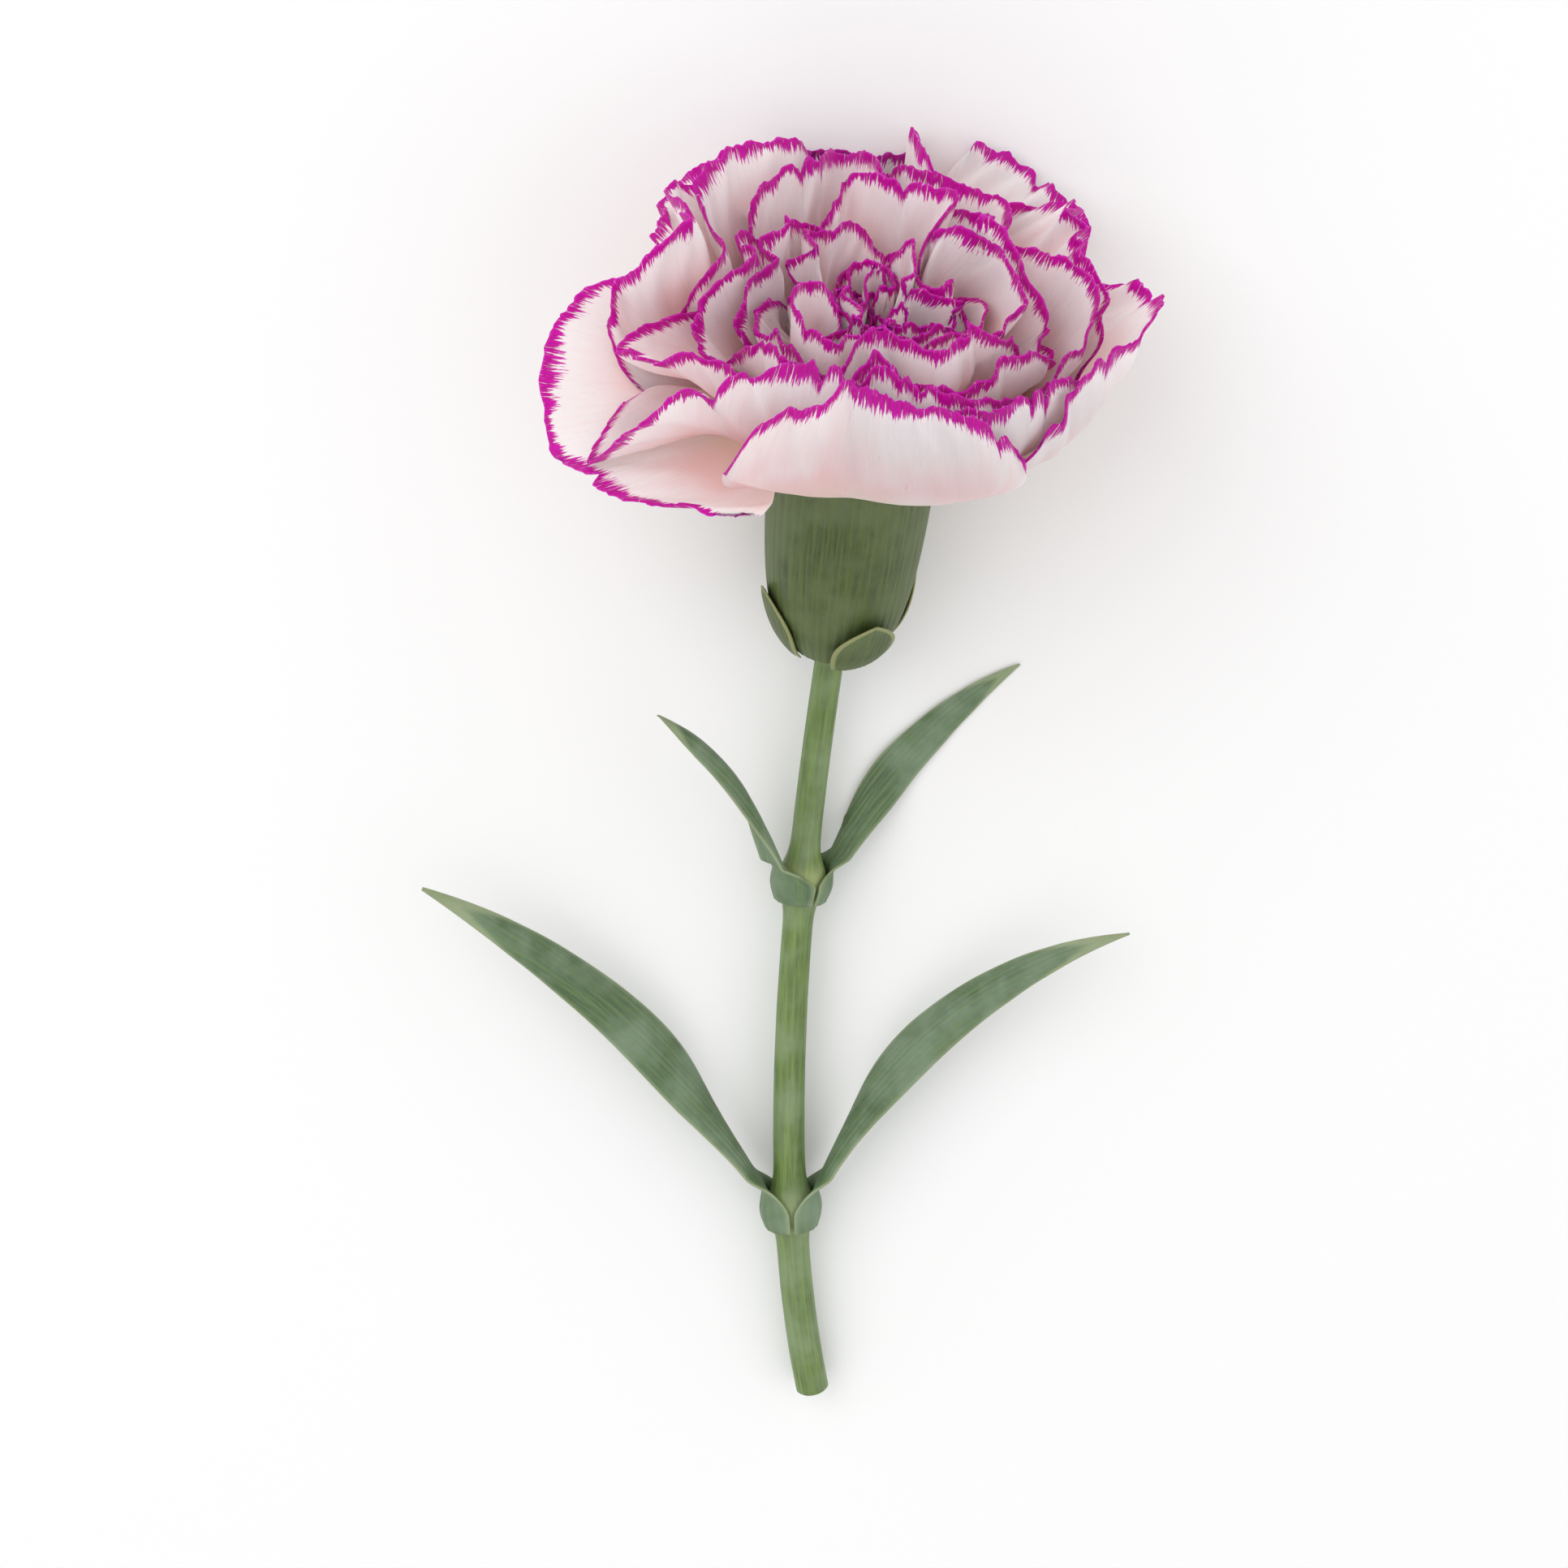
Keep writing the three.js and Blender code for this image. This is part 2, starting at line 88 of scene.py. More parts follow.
# Facets round or across, and along.
CALYX_GRID, BRACT_GRID, LEAF_GRID = (270, 90), (41, 49), (65, 130)
BRACT_TURN = math.radians(20)  # of the first bract round the calyx
# The studio: each lamp's name, place and size in metres, and watts, the light from all round, the floor, and
# the camera.
LAMPS = (("key", (-0.45, 0.5, 0.8), 0.8, 2.6), ("fill", (0.7, -0.2, 0.8), 0.9, 0.5))
AMBIENT = 0.94
FLOOR_HALF = 3
LENS = 100
LOOKED_AT = (0.0, 0.005, 0.014)
PITCH = 1 / len(RINGS)  # from one ring to the next, as a share of the whole bloom
# How strongly a petal ruffles by itself in each ring, as a share of the pitch.
RUFFLES = [0.5, 0.34, 0.2, 0.2, 0.19, 0.17, 0.15, 0.14, 0.13]
DROOP_AT = math.radians(-137)  # where the outermost petals hang down over the calyx
DROOP_BELLY, DROOP_TIP = math.radians(15), math.radians(55)
STEM_LEAN = math.radians(10)  # how far the outermost petal leans where it leaves the calyx
FOLDS, CRUMPLES = 30, 14
CRUMPLED = 8.5  # the radius of the crumpled middle in millimetres
# The coloured margin in millimetres, from where it is narrow to where it is wide: its solid part, and how far
# its streaks run past that.
SOLID_MARGIN = (0.3, 0.95)
STREAK_LENGTH = (1.0, 2.5)


def smooth(low, high, x):
    t = np.clip((x - low) / (high - low), 0, 1)
    return t * t * (3 - 2 * t)


def mix(a, b, f):
    return a + (b - a) * f


# ---- Where the bloom is -------------------------------------------------------------------------


def facing_of(tilt, turn):
    """The direction in which a bloom looks that is tilted up and turned from +Y."""
    return Vector((math.sin(turn) * math.cos(tilt), math.cos(turn) * math.cos(tilt), math.sin(tilt)))


def points_of(node):
    """A CAD node's points in the row frame, in millimetres."""
    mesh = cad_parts[node].data
    co = np.empty(len(mesh.vertices) * 3)
    mesh.vertices.foreach_get("co", co)
    return co.reshape(-1, 3) / MM


def bloom_place(flower):
    """The bloom's turn as a matrix, and the middle of the calyx mouth, in millimetres."""
    facing = facing_of(flower.bloom.tilt, flower.bloom.turn)
    turn = Vector((0, 0, 1)).rotation_difference(facing).to_matrix()
    points = points_of("calyx")
    along = points @ np.array(facing)
    foot = points[along < along.min() + 0.05].mean(axis=0)
    mouth = foot + np.array(facing) * flower.calyx.length / MM
    return np.array(turn), mouth


# ---- The petals' middle surfaces ----------------------------------------------------------------
# Every petal lies on a family of nested cups round the bloom's axis: cup is 0 on the axis and about 1 on the
# outermost. Petals keep apart, because each keeps its own cups, and because the folds that are pressed into
# the bloom turn the space round a fold as a whole. Only in the crowded middle the folds press them together.


def lean_table(leans):
    """The leans as a smooth function of the cup, with the ring middles as its stops."""
    stops = [-0.3] + [PITCH * (i + 0.5) for i in range(len(leans))] + [1.3]
    values = [leans[0] - 4] + list(leans) + [leans[-1] + 12]
    cups = np.linspace(-0.3, 1.3, 161)
    fine = np.interp(cups, stops, values)
    kernel = np.exp(-np.linspace(-2, 2, 13) ** 2)
    padded = np.pad(fine, 6, mode="reflect", reflect_type="odd")
    return cups, np.radians(np.convolve(padded, kernel / kernel.sum(), mode="valid"))


LEANS = [lean_table(leans) for leans in (OPEN_BELLY, OPEN_TIP, CUPPED_BELLY, CUPPED_TIP)]


def cup_point(cup, angle, s, bloom):
    """The point on a cup at an angle round the axis and the distance s above the calyx mouth."""
    mouth_radius = bloom["core"] + bloom["mouth_span"] * cup
    foot_radius = bloom["foot"] + bloom["foot_span"] * cup
    inside = np.clip(-s / bloom["claw_depth"], 0, 1)
    radius = mix(mouth_radius, foot_radius, inside)
    height = np.minimum(s, 0).astype(float)
    above = np.maximum(s, 0)
    sway = np.radians(5 * np.sin(angle + 0.6) + 4 * np.sin(2 * angle + 2.0) + 3 * np.sin(3 * angle + 4.0))
    open_belly, open_tip, cupped_belly, cupped_tip = (np.interp(cup, *leans) for leans in LEANS)
    cupped = smooth(-0.1, 0.78, np.cos(angle - CUPPED_AT))
    droop = smooth(0.75, 1, np.cos(angle - DROOP_AT)) * smooth(0.84, 0.98, cup)
    belly = mix(open_belly, cupped_belly, cupped) + droop * DROOP_BELLY
    tip = mix(open_tip, cupped_tip, cupped) + droop * DROOP_TIP
    loose = np.clip(cup, 0, 1)
    steps = 18
    for i in range(steps):
        x = above * (i + 0.5) / steps / LEAN_LENGTH
        lean = STEM_LEAN * cup + (belly - STEM_LEAN * cup) * smooth(0, 0.42, x)
        lean = lean + (tip - belly) * smooth(0.35, 1.05, x) + sway * loose * smooth(0.1, 0.8, x)
        radius = radius + np.sin(lean) * above / steps
        height = height + np.cos(lean) * above / steps
    return np.stack([radius * np.cos(angle), radius * np.sin(angle), height], axis=-1)


def turned_round(dx, dy, turn):
    return dx * np.cos(turn) - dy * np.sin(turn), dx * np.sin(turn) + dy * np.cos(turn)


def fold_layers(cup, angle, s, bloom):
    """Presses the shared folds into the layers, more and more towards the margins."""
    grown = smooth(5, 24, s)
    wide, deep = bloom["fold_wide"], bloom["fold_deep"]
    for at_angle, at_cup, size, turn, drift in bloom["folds"]:
        here = at_angle + drift * s
        dx = (np.mod(angle - here + math.pi, 2 * math.pi) - math.pi) * wide
        dy = (cup - at_cup) * deep
        weight = turn * grown * np.exp(-(dx * dx + dy * dy) / size**2)
        nx, ny = turned_round(dx, dy, weight)
        angle = angle + (nx - dx) / wide
        cup = at_cup + ny / deep
    return cup, angle


def fold_core(points, bloom):
    """Crumples the crowded middle of the bloom, again as whole space."""
    x, y, z = points[..., 0], points[..., 1], points[..., 2]
    grown = smooth(4, 17, z)
    for at_x, at_y, size, turn in bloom["crumples"]:
        dx, dy = x - at_x, y - at_y
        nx, ny = turned_round(dx, dy, turn * grown * np.exp(-(dx * dx + dy * dy) / size**2))
        x, y = at_x + nx, at_y + ny
    return np.stack([x, y, z], axis=-1)


def bloom_plan(settings):
    """The sizes in millimetres that all the petals share, and the folds in the bloom."""
    chance = np.random.default_rng(settings.seed)
    folds = []
    for i in range(FOLDS):
        at_angle, at_cup = chance.uniform(-math.pi, math.pi), chance.uniform(0.34, 1.05)
        outer = smooth(0.55, 0.95, at_cup)
        calm = 1 - 0.94 * outer * smooth(0.2, 0.7, math.cos(at_angle - CUPPED_AT))
        folds.append((
            at_angle,
            at_cup,
            chance.uniform(3.8, 6.5) + 2.5 * outer,
            math.radians(chance.uniform(22, 52)) * (1 - 0.25 * outer) * calm * (-1) ** i
            * settings.fold_strength,
            chance.uniform(-0.012, 0.012),
        ))
    crumples = []
    for i in range(CRUMPLES):
        out, round_ = CRUMPLED * math.sqrt(chance.uniform(0.02, 1)), chance.uniform(-math.pi, math.pi)
        crumples.append((
            out * math.cos(round_),
            out * math.sin(round_),
            chance.uniform(1.8, 3.8),
            math.radians(chance.uniform(50, 130)) * (-1) ** i * settings.fold_strength,
        ))
    return {
        "core": 1.53, "mouth_span": 6.3, "foot": 2.13, "foot_span": 3.6, "claw_depth": 16.0,
        "claw_width": 2.0, "fold_wide": 20.0, "fold_deep": 24.0, "folds": folds, "crumples": crumples,
        "seed": settings.seed,
    }


def waves(chance, x, counts, falling=1.0):
    """A sum of sines of random height and phase along x, about -1 to 1."""
    total = np.zeros_like(x)
    for count in counts:
        height = chance.uniform(0.5, 1) / count**falling
        total = total + height * np.sin(count * x + chance.uniform(0, 2 * math.pi))
    return total


def petal_surface(ring_index, index, bloom, columns, rows):
    """One petal's middle surface in the bloom's frame: points, and each point's place on the petal in
    millimetres as distance along the margin and distance from the margin."""
    ring = RINGS[ring_index]
    chance = np.random.default_rng(bloom["seed"] * 1000 + ring_index * 10 + index)
    stray = ring["stray"]
    spacing = 2 * math.pi / ring["count"]
    drift = 0.1 * stray * chance.uniform(-1, 1)
    heading = math.radians(ring["turn"]) + spacing * (index + drift) - math.pi / 2
    length = ring["length"] * (1 + 0.09 * stray * chance.uniform(-1, 1))
    half_width = ring["width"] / 2 * (1 + 0.1 * stray * chance.uniform(-1, 1))
    reach = math.radians(ring["reach"])
    middle = 1 - PITCH * (ring_index + 0.5)
    slope = PITCH * 0.4 / (reach * 1.1)
    claw_rows = max(4, rows // 9)
    grown = np.linspace(0, 1, rows - claw_rows + 1)[1:]
    f = np.concatenate([np.linspace(-1, 0, claw_rows), 1 - (1 - grown) ** 1.3])[:, None]
    u = np.linspace(-1, 1, columns)[None, :]
    blade = np.maximum(f, 0)
    phase = u * math.pi
    front = (ring_index < 2) * float(smooth(0.2, 0.8, math.cos(heading - CUPPED_AT)))
    outline = 1 - mix(0.32, 0.2, front) * np.abs(u) ** mix(2.6, 4.0, front)
    outline = outline + 0.035 * stray * (1 - 0.7 * front) * waves(chance, phase, (1, 2, 3), 0.5)
    outline = outline + 0.011 * waves(chance, phase, (5, 8, 12), 0.3)
    for _ in range(chance.integers(0, 3)):
        cut, wide = chance.uniform(-0.8, 0.8), chance.uniform(0.012, 0.03)
        outline = outline - chance.uniform(0.03, 0.075) * np.exp(-np.abs((u - cut) / wide) ** 1.4)
    claw = f * bloom["claw_depth"]
    s = np.where(f < 0, claw, length * blade * (1 + (outline - 1) * blade**1.5))
    level = cup_point(np.full_like(f, middle), np.zeros_like(f), np.where(f < 0, claw, length * blade), bloom)
    radius = np.hypot(level[..., 0], level[..., 1])
    half = mix(bloom["claw_width"] / 2, half_width, smooth(0.05, 0.85, f))
    spread = half / radius
    spread = spread / (1 + (spread / reach) ** 5) ** 0.2
    across = spread * u
    ruffle = smooth(0.3, 1, blade)
    room = RUFFLES[ring_index] * (1 - 0.6 * front)
    own = room * (ruffle * 0.7 * waves(chance, phase + 1.5 * blade, (1.5, 3), 0.6)
                  + ruffle**2 * 0.75 * waves(chance, phase + 2.0 * blade, (5, 8, 11), 0.4))
    curl = chance.uniform(-0.5, 0.5) * room * smooth(0.75, 1, blade) * (1 + waves(chance, phase, (1, 2)))
    cup = middle + slope * across + PITCH * (own + curl)
    cup, angle = fold_layers(cup, heading + across, s, bloom)
    points = fold_core(cup_point(cup, angle, s, bloom), bloom)
    along = np.linalg.norm(np.diff(points, axis=0), axis=2)
    from_margin = np.concatenate([np.cumsum(along[::-1], axis=0)[::-1], np.zeros((1, columns))])
    steps = np.linalg.norm(np.diff(points, axis=1), axis=2)
    across_mm = np.concatenate([np.zeros((rows, 1)), np.cumsum(steps, axis=1)], axis=1)
    from_side = np.minimum(across_mm, across_mm[:, -1:] - across_mm)
    distance = np.minimum(from_margin, from_side * 1.3 + 16 * smooth(0.95, 0.45, f) * np.ones_like(u))
    distance = distance * mix(1, 1.6, smooth(3, 8, ring_index))
    margin_mm = np.broadcast_to(across_mm[-1:], points.shape[:2])
    return points, np.stack([margin_mm + 61.0 * (ring_index * 5 + index), distance], axis=-1)


def settle(z, deepest, give=3.0, rest=0.15):
    """What would come below the surface that the flower lies on is flattened into the room above it."""
    depth = rest + give - deepest
    pressed = rest + give * np.maximum((z - deepest) / depth, 0) ** (depth / give)
    return np.where(z < rest + give, pressed, z)


def placed(points, place, deepest):
    """Bloom points in the row frame, resting on the surface, in millimetres."""
    turn, mouth = place
    world = points @ turn.T + mouth
    world[..., 2] = settle(world[..., 2], deepest)
    return world


# ---- The calyx and its bracts -------------------------------------------------------------------


def calyx_radius(height, settings):
    """The calyx's outer radius at a height below its mouth, in millimetres."""
    f = -height / (settings.length / MM)
    return mix(settings.mouth_radius / MM, settings.foot_radius / MM, 0.45 * f**2 + 0.55 * f**9)


def evened(points, count):
    """A polyline drawn again with evenly spaced points."""
    steps = np.concatenate([[0], np.cumsum(np.linalg.norm(np.diff(points, axis=0), axis=1))])
    even = np.linspace(0, steps[-1], count)
    return np.stack([np.interp(even, steps, points[:, i]) for i in range(points.shape[1])], axis=1)


def calyx_surface(settings, bloom, columns, rows):
    """The middle of the calyx wall in the bloom's frame, from the hole in its foot to the tips of its teeth,
    and each point's place in millimetres round the calyx and down from the margin."""
    half_wall = settings.wall / MM / 2
    length, tooth = settings.length / MM, settings.tooth_length / MM
    below = np.linspace(-length + 0.5, 0, 80)
    side = np.stack([calyx_radius(below, settings) - half_wall, below], axis=1)
    floor = -length + half_wall
    foot = [[settings.throat / MM, floor], [settings.foot_radius / MM - 0.9, floor]]
    profile = evened(np.concatenate([foot, side]), rows - 14)
    kernel = np.array([1, 2, 3, 2, 1]) / 9
    profile[2:-2] = np.stack([np.convolve(profile[:, i], kernel, mode="valid") for i in range(2)], axis=1)
    angle = np.linspace(0, 2 * math.pi, columns + 1)[None, :]
    tooth_at = np.abs(2 * np.mod(angle * settings.teeth / (2 * math.pi), 1) - 1)
    outline = 0.1 + 0.9 * (1 - tooth_at) ** 0.85
    body = np.stack([profile[:, :1] * np.cos(angle), profile[:, :1] * np.sin(angle),
                     profile[:, 1:] * np.ones_like(angle)], axis=-1)
    cup = (settings.mouth_radius / MM - half_wall - bloom["core"]) / bloom["mouth_span"]
    up = np.linspace(0, 1, 15)[1:, None]
    s = tooth * up * outline
    teeth = cup_point(np.full_like(s, cup) + 0.02 * up * tooth_at, angle + 0 * s, s, bloom)
    points = np.concatenate([body, teeth])
    height = np.concatenate([profile[:, 1:] * np.ones_like(angle), s])
    round_mm = np.broadcast_to(angle * settings.mouth_radius / MM, height.shape)
    return points, np.stack([round_mm, tooth * outline - height], axis=-1)


def bract_surface(layer, heading, calyx, settings, columns, rows):
    """One of the small scales that clasp the foot of the calyx, in the bloom's frame: points, their flat map
    and their distance from the edge."""
    v = np.linspace(0, 1, rows)[:, None]
    u = np.linspace(-1, 1, columns)[None, :]
    shoulder = 0.45  # where the scale is widest
    lower = mix(0.7, 1, np.sin(np.minimum(v / shoulder, 1) * math.pi / 2))
    upper = (1 - (np.maximum(v - shoulder, 0) / (1 - shoulder)) ** 2) * 0.97 + 0.03
    half = settings.width / MM / 2 * np.where(v < shoulder, lower, upper)
    height = -calyx.length / MM + 0.6 + settings.length / MM * v + 0 * u
    radius = calyx_radius(height, calyx) + settings.gap / MM + settings.thickness / MM / 2
    radius = radius + settings.spacing / MM * layer * (0.35 + 0.6 * v) + 0.5 * v**6
    angle = heading + u * half / radius
    points = np.stack([radius * np.cos(angle), radius * np.sin(angle), height], axis=-1)
    margin = (1 - np.abs(u)) * half
    return points, np.stack([u * half, settings.length / MM * v + 0 * u], axis=-1), margin


# ---- The stem and its leaves --------------------------------------------------------------------


class StemPath:
    """The stem's middle line in millimetres, from the cut end to the foot of the calyx and on inside it."""

    def __init__(self, settings, place):
        facing = place[0] @ np.array([0.0, 0.0, 1.0])
        neck = place[1] - facing * settings.calyx.length / MM
        points = points_of("stem")
        cut = points[points[:, 1] < points[:, 1].min() + 0.15].mean(axis=0)
        run = neck[1] - cut[1]
        handles = [cut, cut + np.array([-settings.stem.bow / MM, 0.4 * run, settings.stem.rise / MM]),
                   neck - facing * settings.stem.neck_bend / MM, neck]
        f = np.linspace(0, 1, 601)[:, None]
        weights = ((1 - f) ** 3, 3 * f * (1 - f) ** 2, 3 * f**2 * (1 - f), f**3)
        self.points = sum(weight * handle for weight, handle in zip(weights, handles))
        steps = np.linalg.norm(np.diff(self.points, axis=0), axis=1)
        self.distances = np.concatenate([[0], np.cumsum(steps)])
        self.length = self.distances[-1]
        self.facing = facing

    def at(self, distance):
        """The point on the line at a distance from the cut end, past the neck straight on."""
        point = np.array([np.interp(distance, self.distances, self.points[:, i]) for i in range(3)])
        return point + self.facing * max(distance - self.length, 0)

    def directions(self, distance):
        """Along the line, to its side and up from it."""
        tangent = self.at(distance + 0.05) - self.at(distance - 0.05)
        tangent /= np.linalg.norm(tangent)
        side = np.cross([0, 0, 1], tangent)
        side /= np.linalg.norm(side)
        return tangent, side, np.cross(tangent, side)


def stem_radius(distance, length, settings):
    radius = mix(settings.radius / MM, settings.neck_radius / MM, smooth(0, length, distance))
    for node in settings.nodes:
        away = (distance - node / MM) / (settings.node_length / MM / 2)
        radius = max(radius, mix(radius, settings.node_radius / MM, math.exp(-away * away)))
    return radius


def leaf_surface(leaf, path, stem, settings, columns, rows):
    """One leaf's middle surface, its own flat map in millimetres, and how thick it is from 0 to 1. Its foot
    is a collar that clasps the stem just below the node."""
    at = stem.nodes[leaf["node"]] / MM
    tangent, side, up = path.directions(at)
    roll = leaf["roll"]
    outward = side * math.cos(roll) + up * math.sin(roll)
    across = np.cross(tangent, outward)
    thickness = settings.thickness / MM
    foot = path.at(at) + outward * (stem.node_radius / MM + 0.3 + thickness / 2)
    collar_rows = 12
    v = np.concatenate([
        np.linspace(-2.2 / leaf["length"], 0, collar_rows, endpoint=False),
        np.linspace(0, 1, rows - collar_rows) ** 1.15,
    ])
    u = np.linspace(-1, 1, columns)
    points = np.empty((rows, columns, 3))
    flat = np.empty((rows, columns, 2))
    taper = np.empty((rows, columns))
    pieces = 24
    for row, grown in enumerate(v):
        blade = max(grown, 0.0)
        here = foot.copy()
        for i in range(pieces):
            part = blade * (i + 0.5) / pieces
            bend = leaf["lift"] * smooth(0, 0.12, part) + leaf["curl"] * part
            here += (math.cos(bend) * tangent + math.sin(bend) * outward) * leaf["length"] * blade / pieces
        bend = leaf["lift"] * smooth(0, 0.12, blade) + leaf["curl"] * blade
        ahead = Vector(tangent * math.cos(bend) + outward * math.sin(bend))
        turned = Quaternion(ahead, leaf["twist"] * float(smooth(0.04, 0.5, blade))) @ Vector(across)
        inward = np.array(turned.cross(ahead))
        shape = mix(0.85, 1, blade / 0.3) if blade < 0.3 else (1 - ((blade - 0.3) / 0.7) ** 2.2) * 0.95 + 0.05
        half = leaf["width"] / 2 * shape
        waved = 0.25 * np.sin(9 * blade + leaf["roll"]) * smooth(0.1, 0.4, blade)
        open_blade = here + np.outer(u * half, turned)
        open_blade += np.outer(settings.channel / MM * u**2 * shape + waved * np.abs(u) ** 3, inward)
        distance = at + grown * leaf["length"]
        round_ = leaf["seat"] + u * math.radians(settings.clasp)
        radius = stem_radius(distance, path.length, stem) + 0.3 + thickness / 2
        _, sideways, upwards = path.directions(distance)
        circle = np.outer(np.cos(round_), sideways) + np.outer(np.sin(round_), upwards)
        collar = path.at(distance) + radius * circle
        clasped = float(smooth(0.0, 0.1, grown))
        points[row] = mix(collar, open_blade, clasped)
        flat[row] = np.stack([u * half, np.full(columns, grown * leaf["length"])], axis=1)
        taper[row] = mix(0.55, 1, (1 - np.abs(u)) ** 0.6) * mix(1, 0.45, smooth(0.75, 1, blade))
    lowest = points[..., 2].min()
    if lowest < thickness / 2:
        points[..., 2] = settle(points[..., 2], lowest, give=2.5, rest=thickness / 2)
    return points, flat, taper


# ---- Node trees ---------------------------------------------------------------------------------


def add(tree, kind, inputs=None, **options):
    """Adds a node to a tree. inputs gives each socket a value or the socket that feeds it."""
    node = tree.nodes.new(kind)
    for name, value in options.items():
        setattr(node, name, value)
    for name, value in (inputs or {}).items():
        if isinstance(value, bpy.types.NodeSocket):
            tree.links.new(value, node.inputs[name])
        else:
            node.inputs[name].default_value = value
    return node


def maths(tree, operation, *values):
    return add(tree, "ShaderNodeMath", dict(enumerate(values)), operation=operation).outputs[0]


def ranged(tree, value, low, high, to_low=0.0, to_high=1.0, kind="SMOOTHSTEP"):
    """A value taken from one range to another, and held at that range's ends."""
    inputs = {"Value": value, "From Min": low, "From Max": high, "To Min": to_low, "To Max": to_high}
    return add(tree, "ShaderNodeMapRange", inputs, interpolation_type=kind).outputs["Result"]


def blended(tree, factor, a, b):
    """A colour mixed from a to b by the factor."""
    a, b = (c if isinstance(c, bpy.types.NodeSocket) else (*c, 1) for c in (a, b))
    return add(tree, "ShaderNodeMix", {0: factor, 6: a, 7: b}, data_type="RGBA").outputs[2]


def noise(tree, at, scale, detail=2.0, roughness=0.5, dimensions="3D"):
    inputs = {"Vector": at, "Scale": scale, "Detail": detail, "Roughness": roughness}
    return add(tree, "ShaderNodeTexNoise", inputs, noise_dimensions=dimensions).outputs[0]


def stretched(tree, vector, factors):
    return add(tree, "ShaderNodeVectorMath", {0: vector, 1: factors}, operation="MULTIPLY").outputs[0]


def scaled(tree, vector, factor):
    return add(tree, "ShaderNodeVectorMath", {0: vector, "Scale": factor}, operation="SCALE").outputs[0]


def parts_of(tree, vector):
    return add(tree, "ShaderNodeSeparateXYZ", {0: vector}).outputs


def kept_as(tree, name, kind="FLOAT"):
    """What the geometry carries as a named attribute."""
    return add(tree, "GeometryNodeInputNamedAttribute", {"Name": name}, data_type=kind).outputs[0]


def normal_of(tree):
    return tree.nodes.new("GeometryNodeInputNormal").outputs["Normal"]


def pushed(tree, geometry, direction, amount):
    """Geometry moved by an amount along a direction."""
    inputs = {"Geometry": geometry, "Offset": scaled(tree, direction, amount)}
    return add(tree, "GeometryNodeSetPosition", inputs).outputs[0]


def finished(tree, geometry, smooth_faces, material):
    """The last steps of every tree: shading, real geometry and its material."""
    shaded = add(tree, "GeometryNodeSetShadeSmooth", {"Geometry": geometry, "Shade Smooth": smooth_faces})
    real = add(tree, "GeometryNodeRealizeInstances", {"Geometry": shaded.outputs[0]})
    inputs = {"Geometry": real.outputs[0], "Material": material}
    return add(tree, "GeometryNodeSetMaterial", inputs).outputs[0]


def geometry_tree(name, inputs):
    """A geometry node tree with a geometry input and output and the named inputs."""
    tree = bpy.data.node_groups.new(name, "GeometryNodeTree")
    tree.interface.new_socket("Geometry", in_out="INPUT", socket_type="NodeSocketGeometry")
    for socket_name, kind, value in inputs:
        socket = tree.interface.new_socket(socket_name, in_out="INPUT", socket_type=kind)
        if value is not None:
            socket.default_value = value
    tree.interface.new_socket("Geometry", in_out="OUTPUT", socket_type="NodeSocketGeometry")
    return tree, tree.nodes.new("NodeGroupInput").outputs, tree.nodes.new("NodeGroupOutput").inputs


def grown_with(obj, tree, values):
    """Runs a geometry tree on an object with the given inputs, and keeps the result as its plain mesh."""
    modifier = obj.modifiers.new(tree.name, "NODES")
    modifier.node_group = tree
    for item in tree.interface.items_tree:
        if item.item_type == "SOCKET" and item.in_out == "INPUT" and item.name in values:
            modifier[item.identifier] = values[item.name]
    depsgraph = bpy.context.evaluated_depsgraph_get()
    mesh = bpy.data.meshes.new_from_object(obj.evaluated_get(depsgraph))
    obj.modifiers.remove(modifier)
    old, obj.data = obj.data, mesh
    mesh.name = obj.name
    bpy.data.meshes.remove(old)


def closed_sheet(tree, geometry, thickness, material):
    """Turns an open sheet into a closed one of even thickness about it. Returns the last geometry."""
    under = pushed(tree, geometry, normal_of(tree), maths(tree, "MULTIPLY", thickness, -0.5))
    raised = add(tree, "GeometryNodeExtrudeMesh",
                 {"Mesh": under, "Offset Scale": thickness, "Individual": False}, mode="FACES")
    bottom = add(tree, "GeometryNodeFlipFaces", {"Mesh": under})
    both = tree.nodes.new("GeometryNodeJoinGeometry")
    tree.links.new(raised.outputs["Mesh"], both.inputs[0])
    tree.links.new(bottom.outputs[0], both.inputs[0])
    sealed = add(tree, "GeometryNodeMergeByDistance", {"Geometry": both.outputs[0], "Distance": SEAM})
    return finished(tree, sealed.outputs[0], True, material)


def petal_tree():
    """Cuts the margin of a petal into fine teeth and gives the petal its thickness."""
    tree, given, result = geometry_tree("Petal margin and thickness", [
        ("Tooth depth", "NodeSocketFloat", 0.0005),
        ("Tooth pitch", "NodeSocketFloat", 0.001),
        ("Thickness", "NodeSocketFloat", 0.00026),
        ("Material", "NodeSocketMaterial", None),
    ])
    along_margin, inward, _ = parts_of(tree, kept_as(tree, "margin", "FLOAT_VECTOR"))
    pitch = maths(tree, "DIVIDE", along_margin, given["Tooth pitch"])
    fine = add(tree, "ShaderNodeTexNoise", {"W": pitch, "Scale": 0.8, "Detail": 3.0, "Roughness": 0.7},
               noise_dimensions="1D").outputs[0]
    tooth = maths(tree, "MULTIPLY", maths(tree, "SUBTRACT", fine, 0.5), 2.4)
    near = ranged(tree, inward, 0.0, 0.0022, 1.0, 0.0)
    reach = maths(tree, "MULTIPLY", maths(tree, "MULTIPLY", tooth, near), given["Tooth depth"])
    cut = pushed(tree, given["Geometry"], kept_as(tree, "along", "FLOAT_VECTOR"), reach)
    tree.links.new(closed_sheet(tree, cut, given["Thickness"], given["Material"]), result["Geometry"])
    return tree


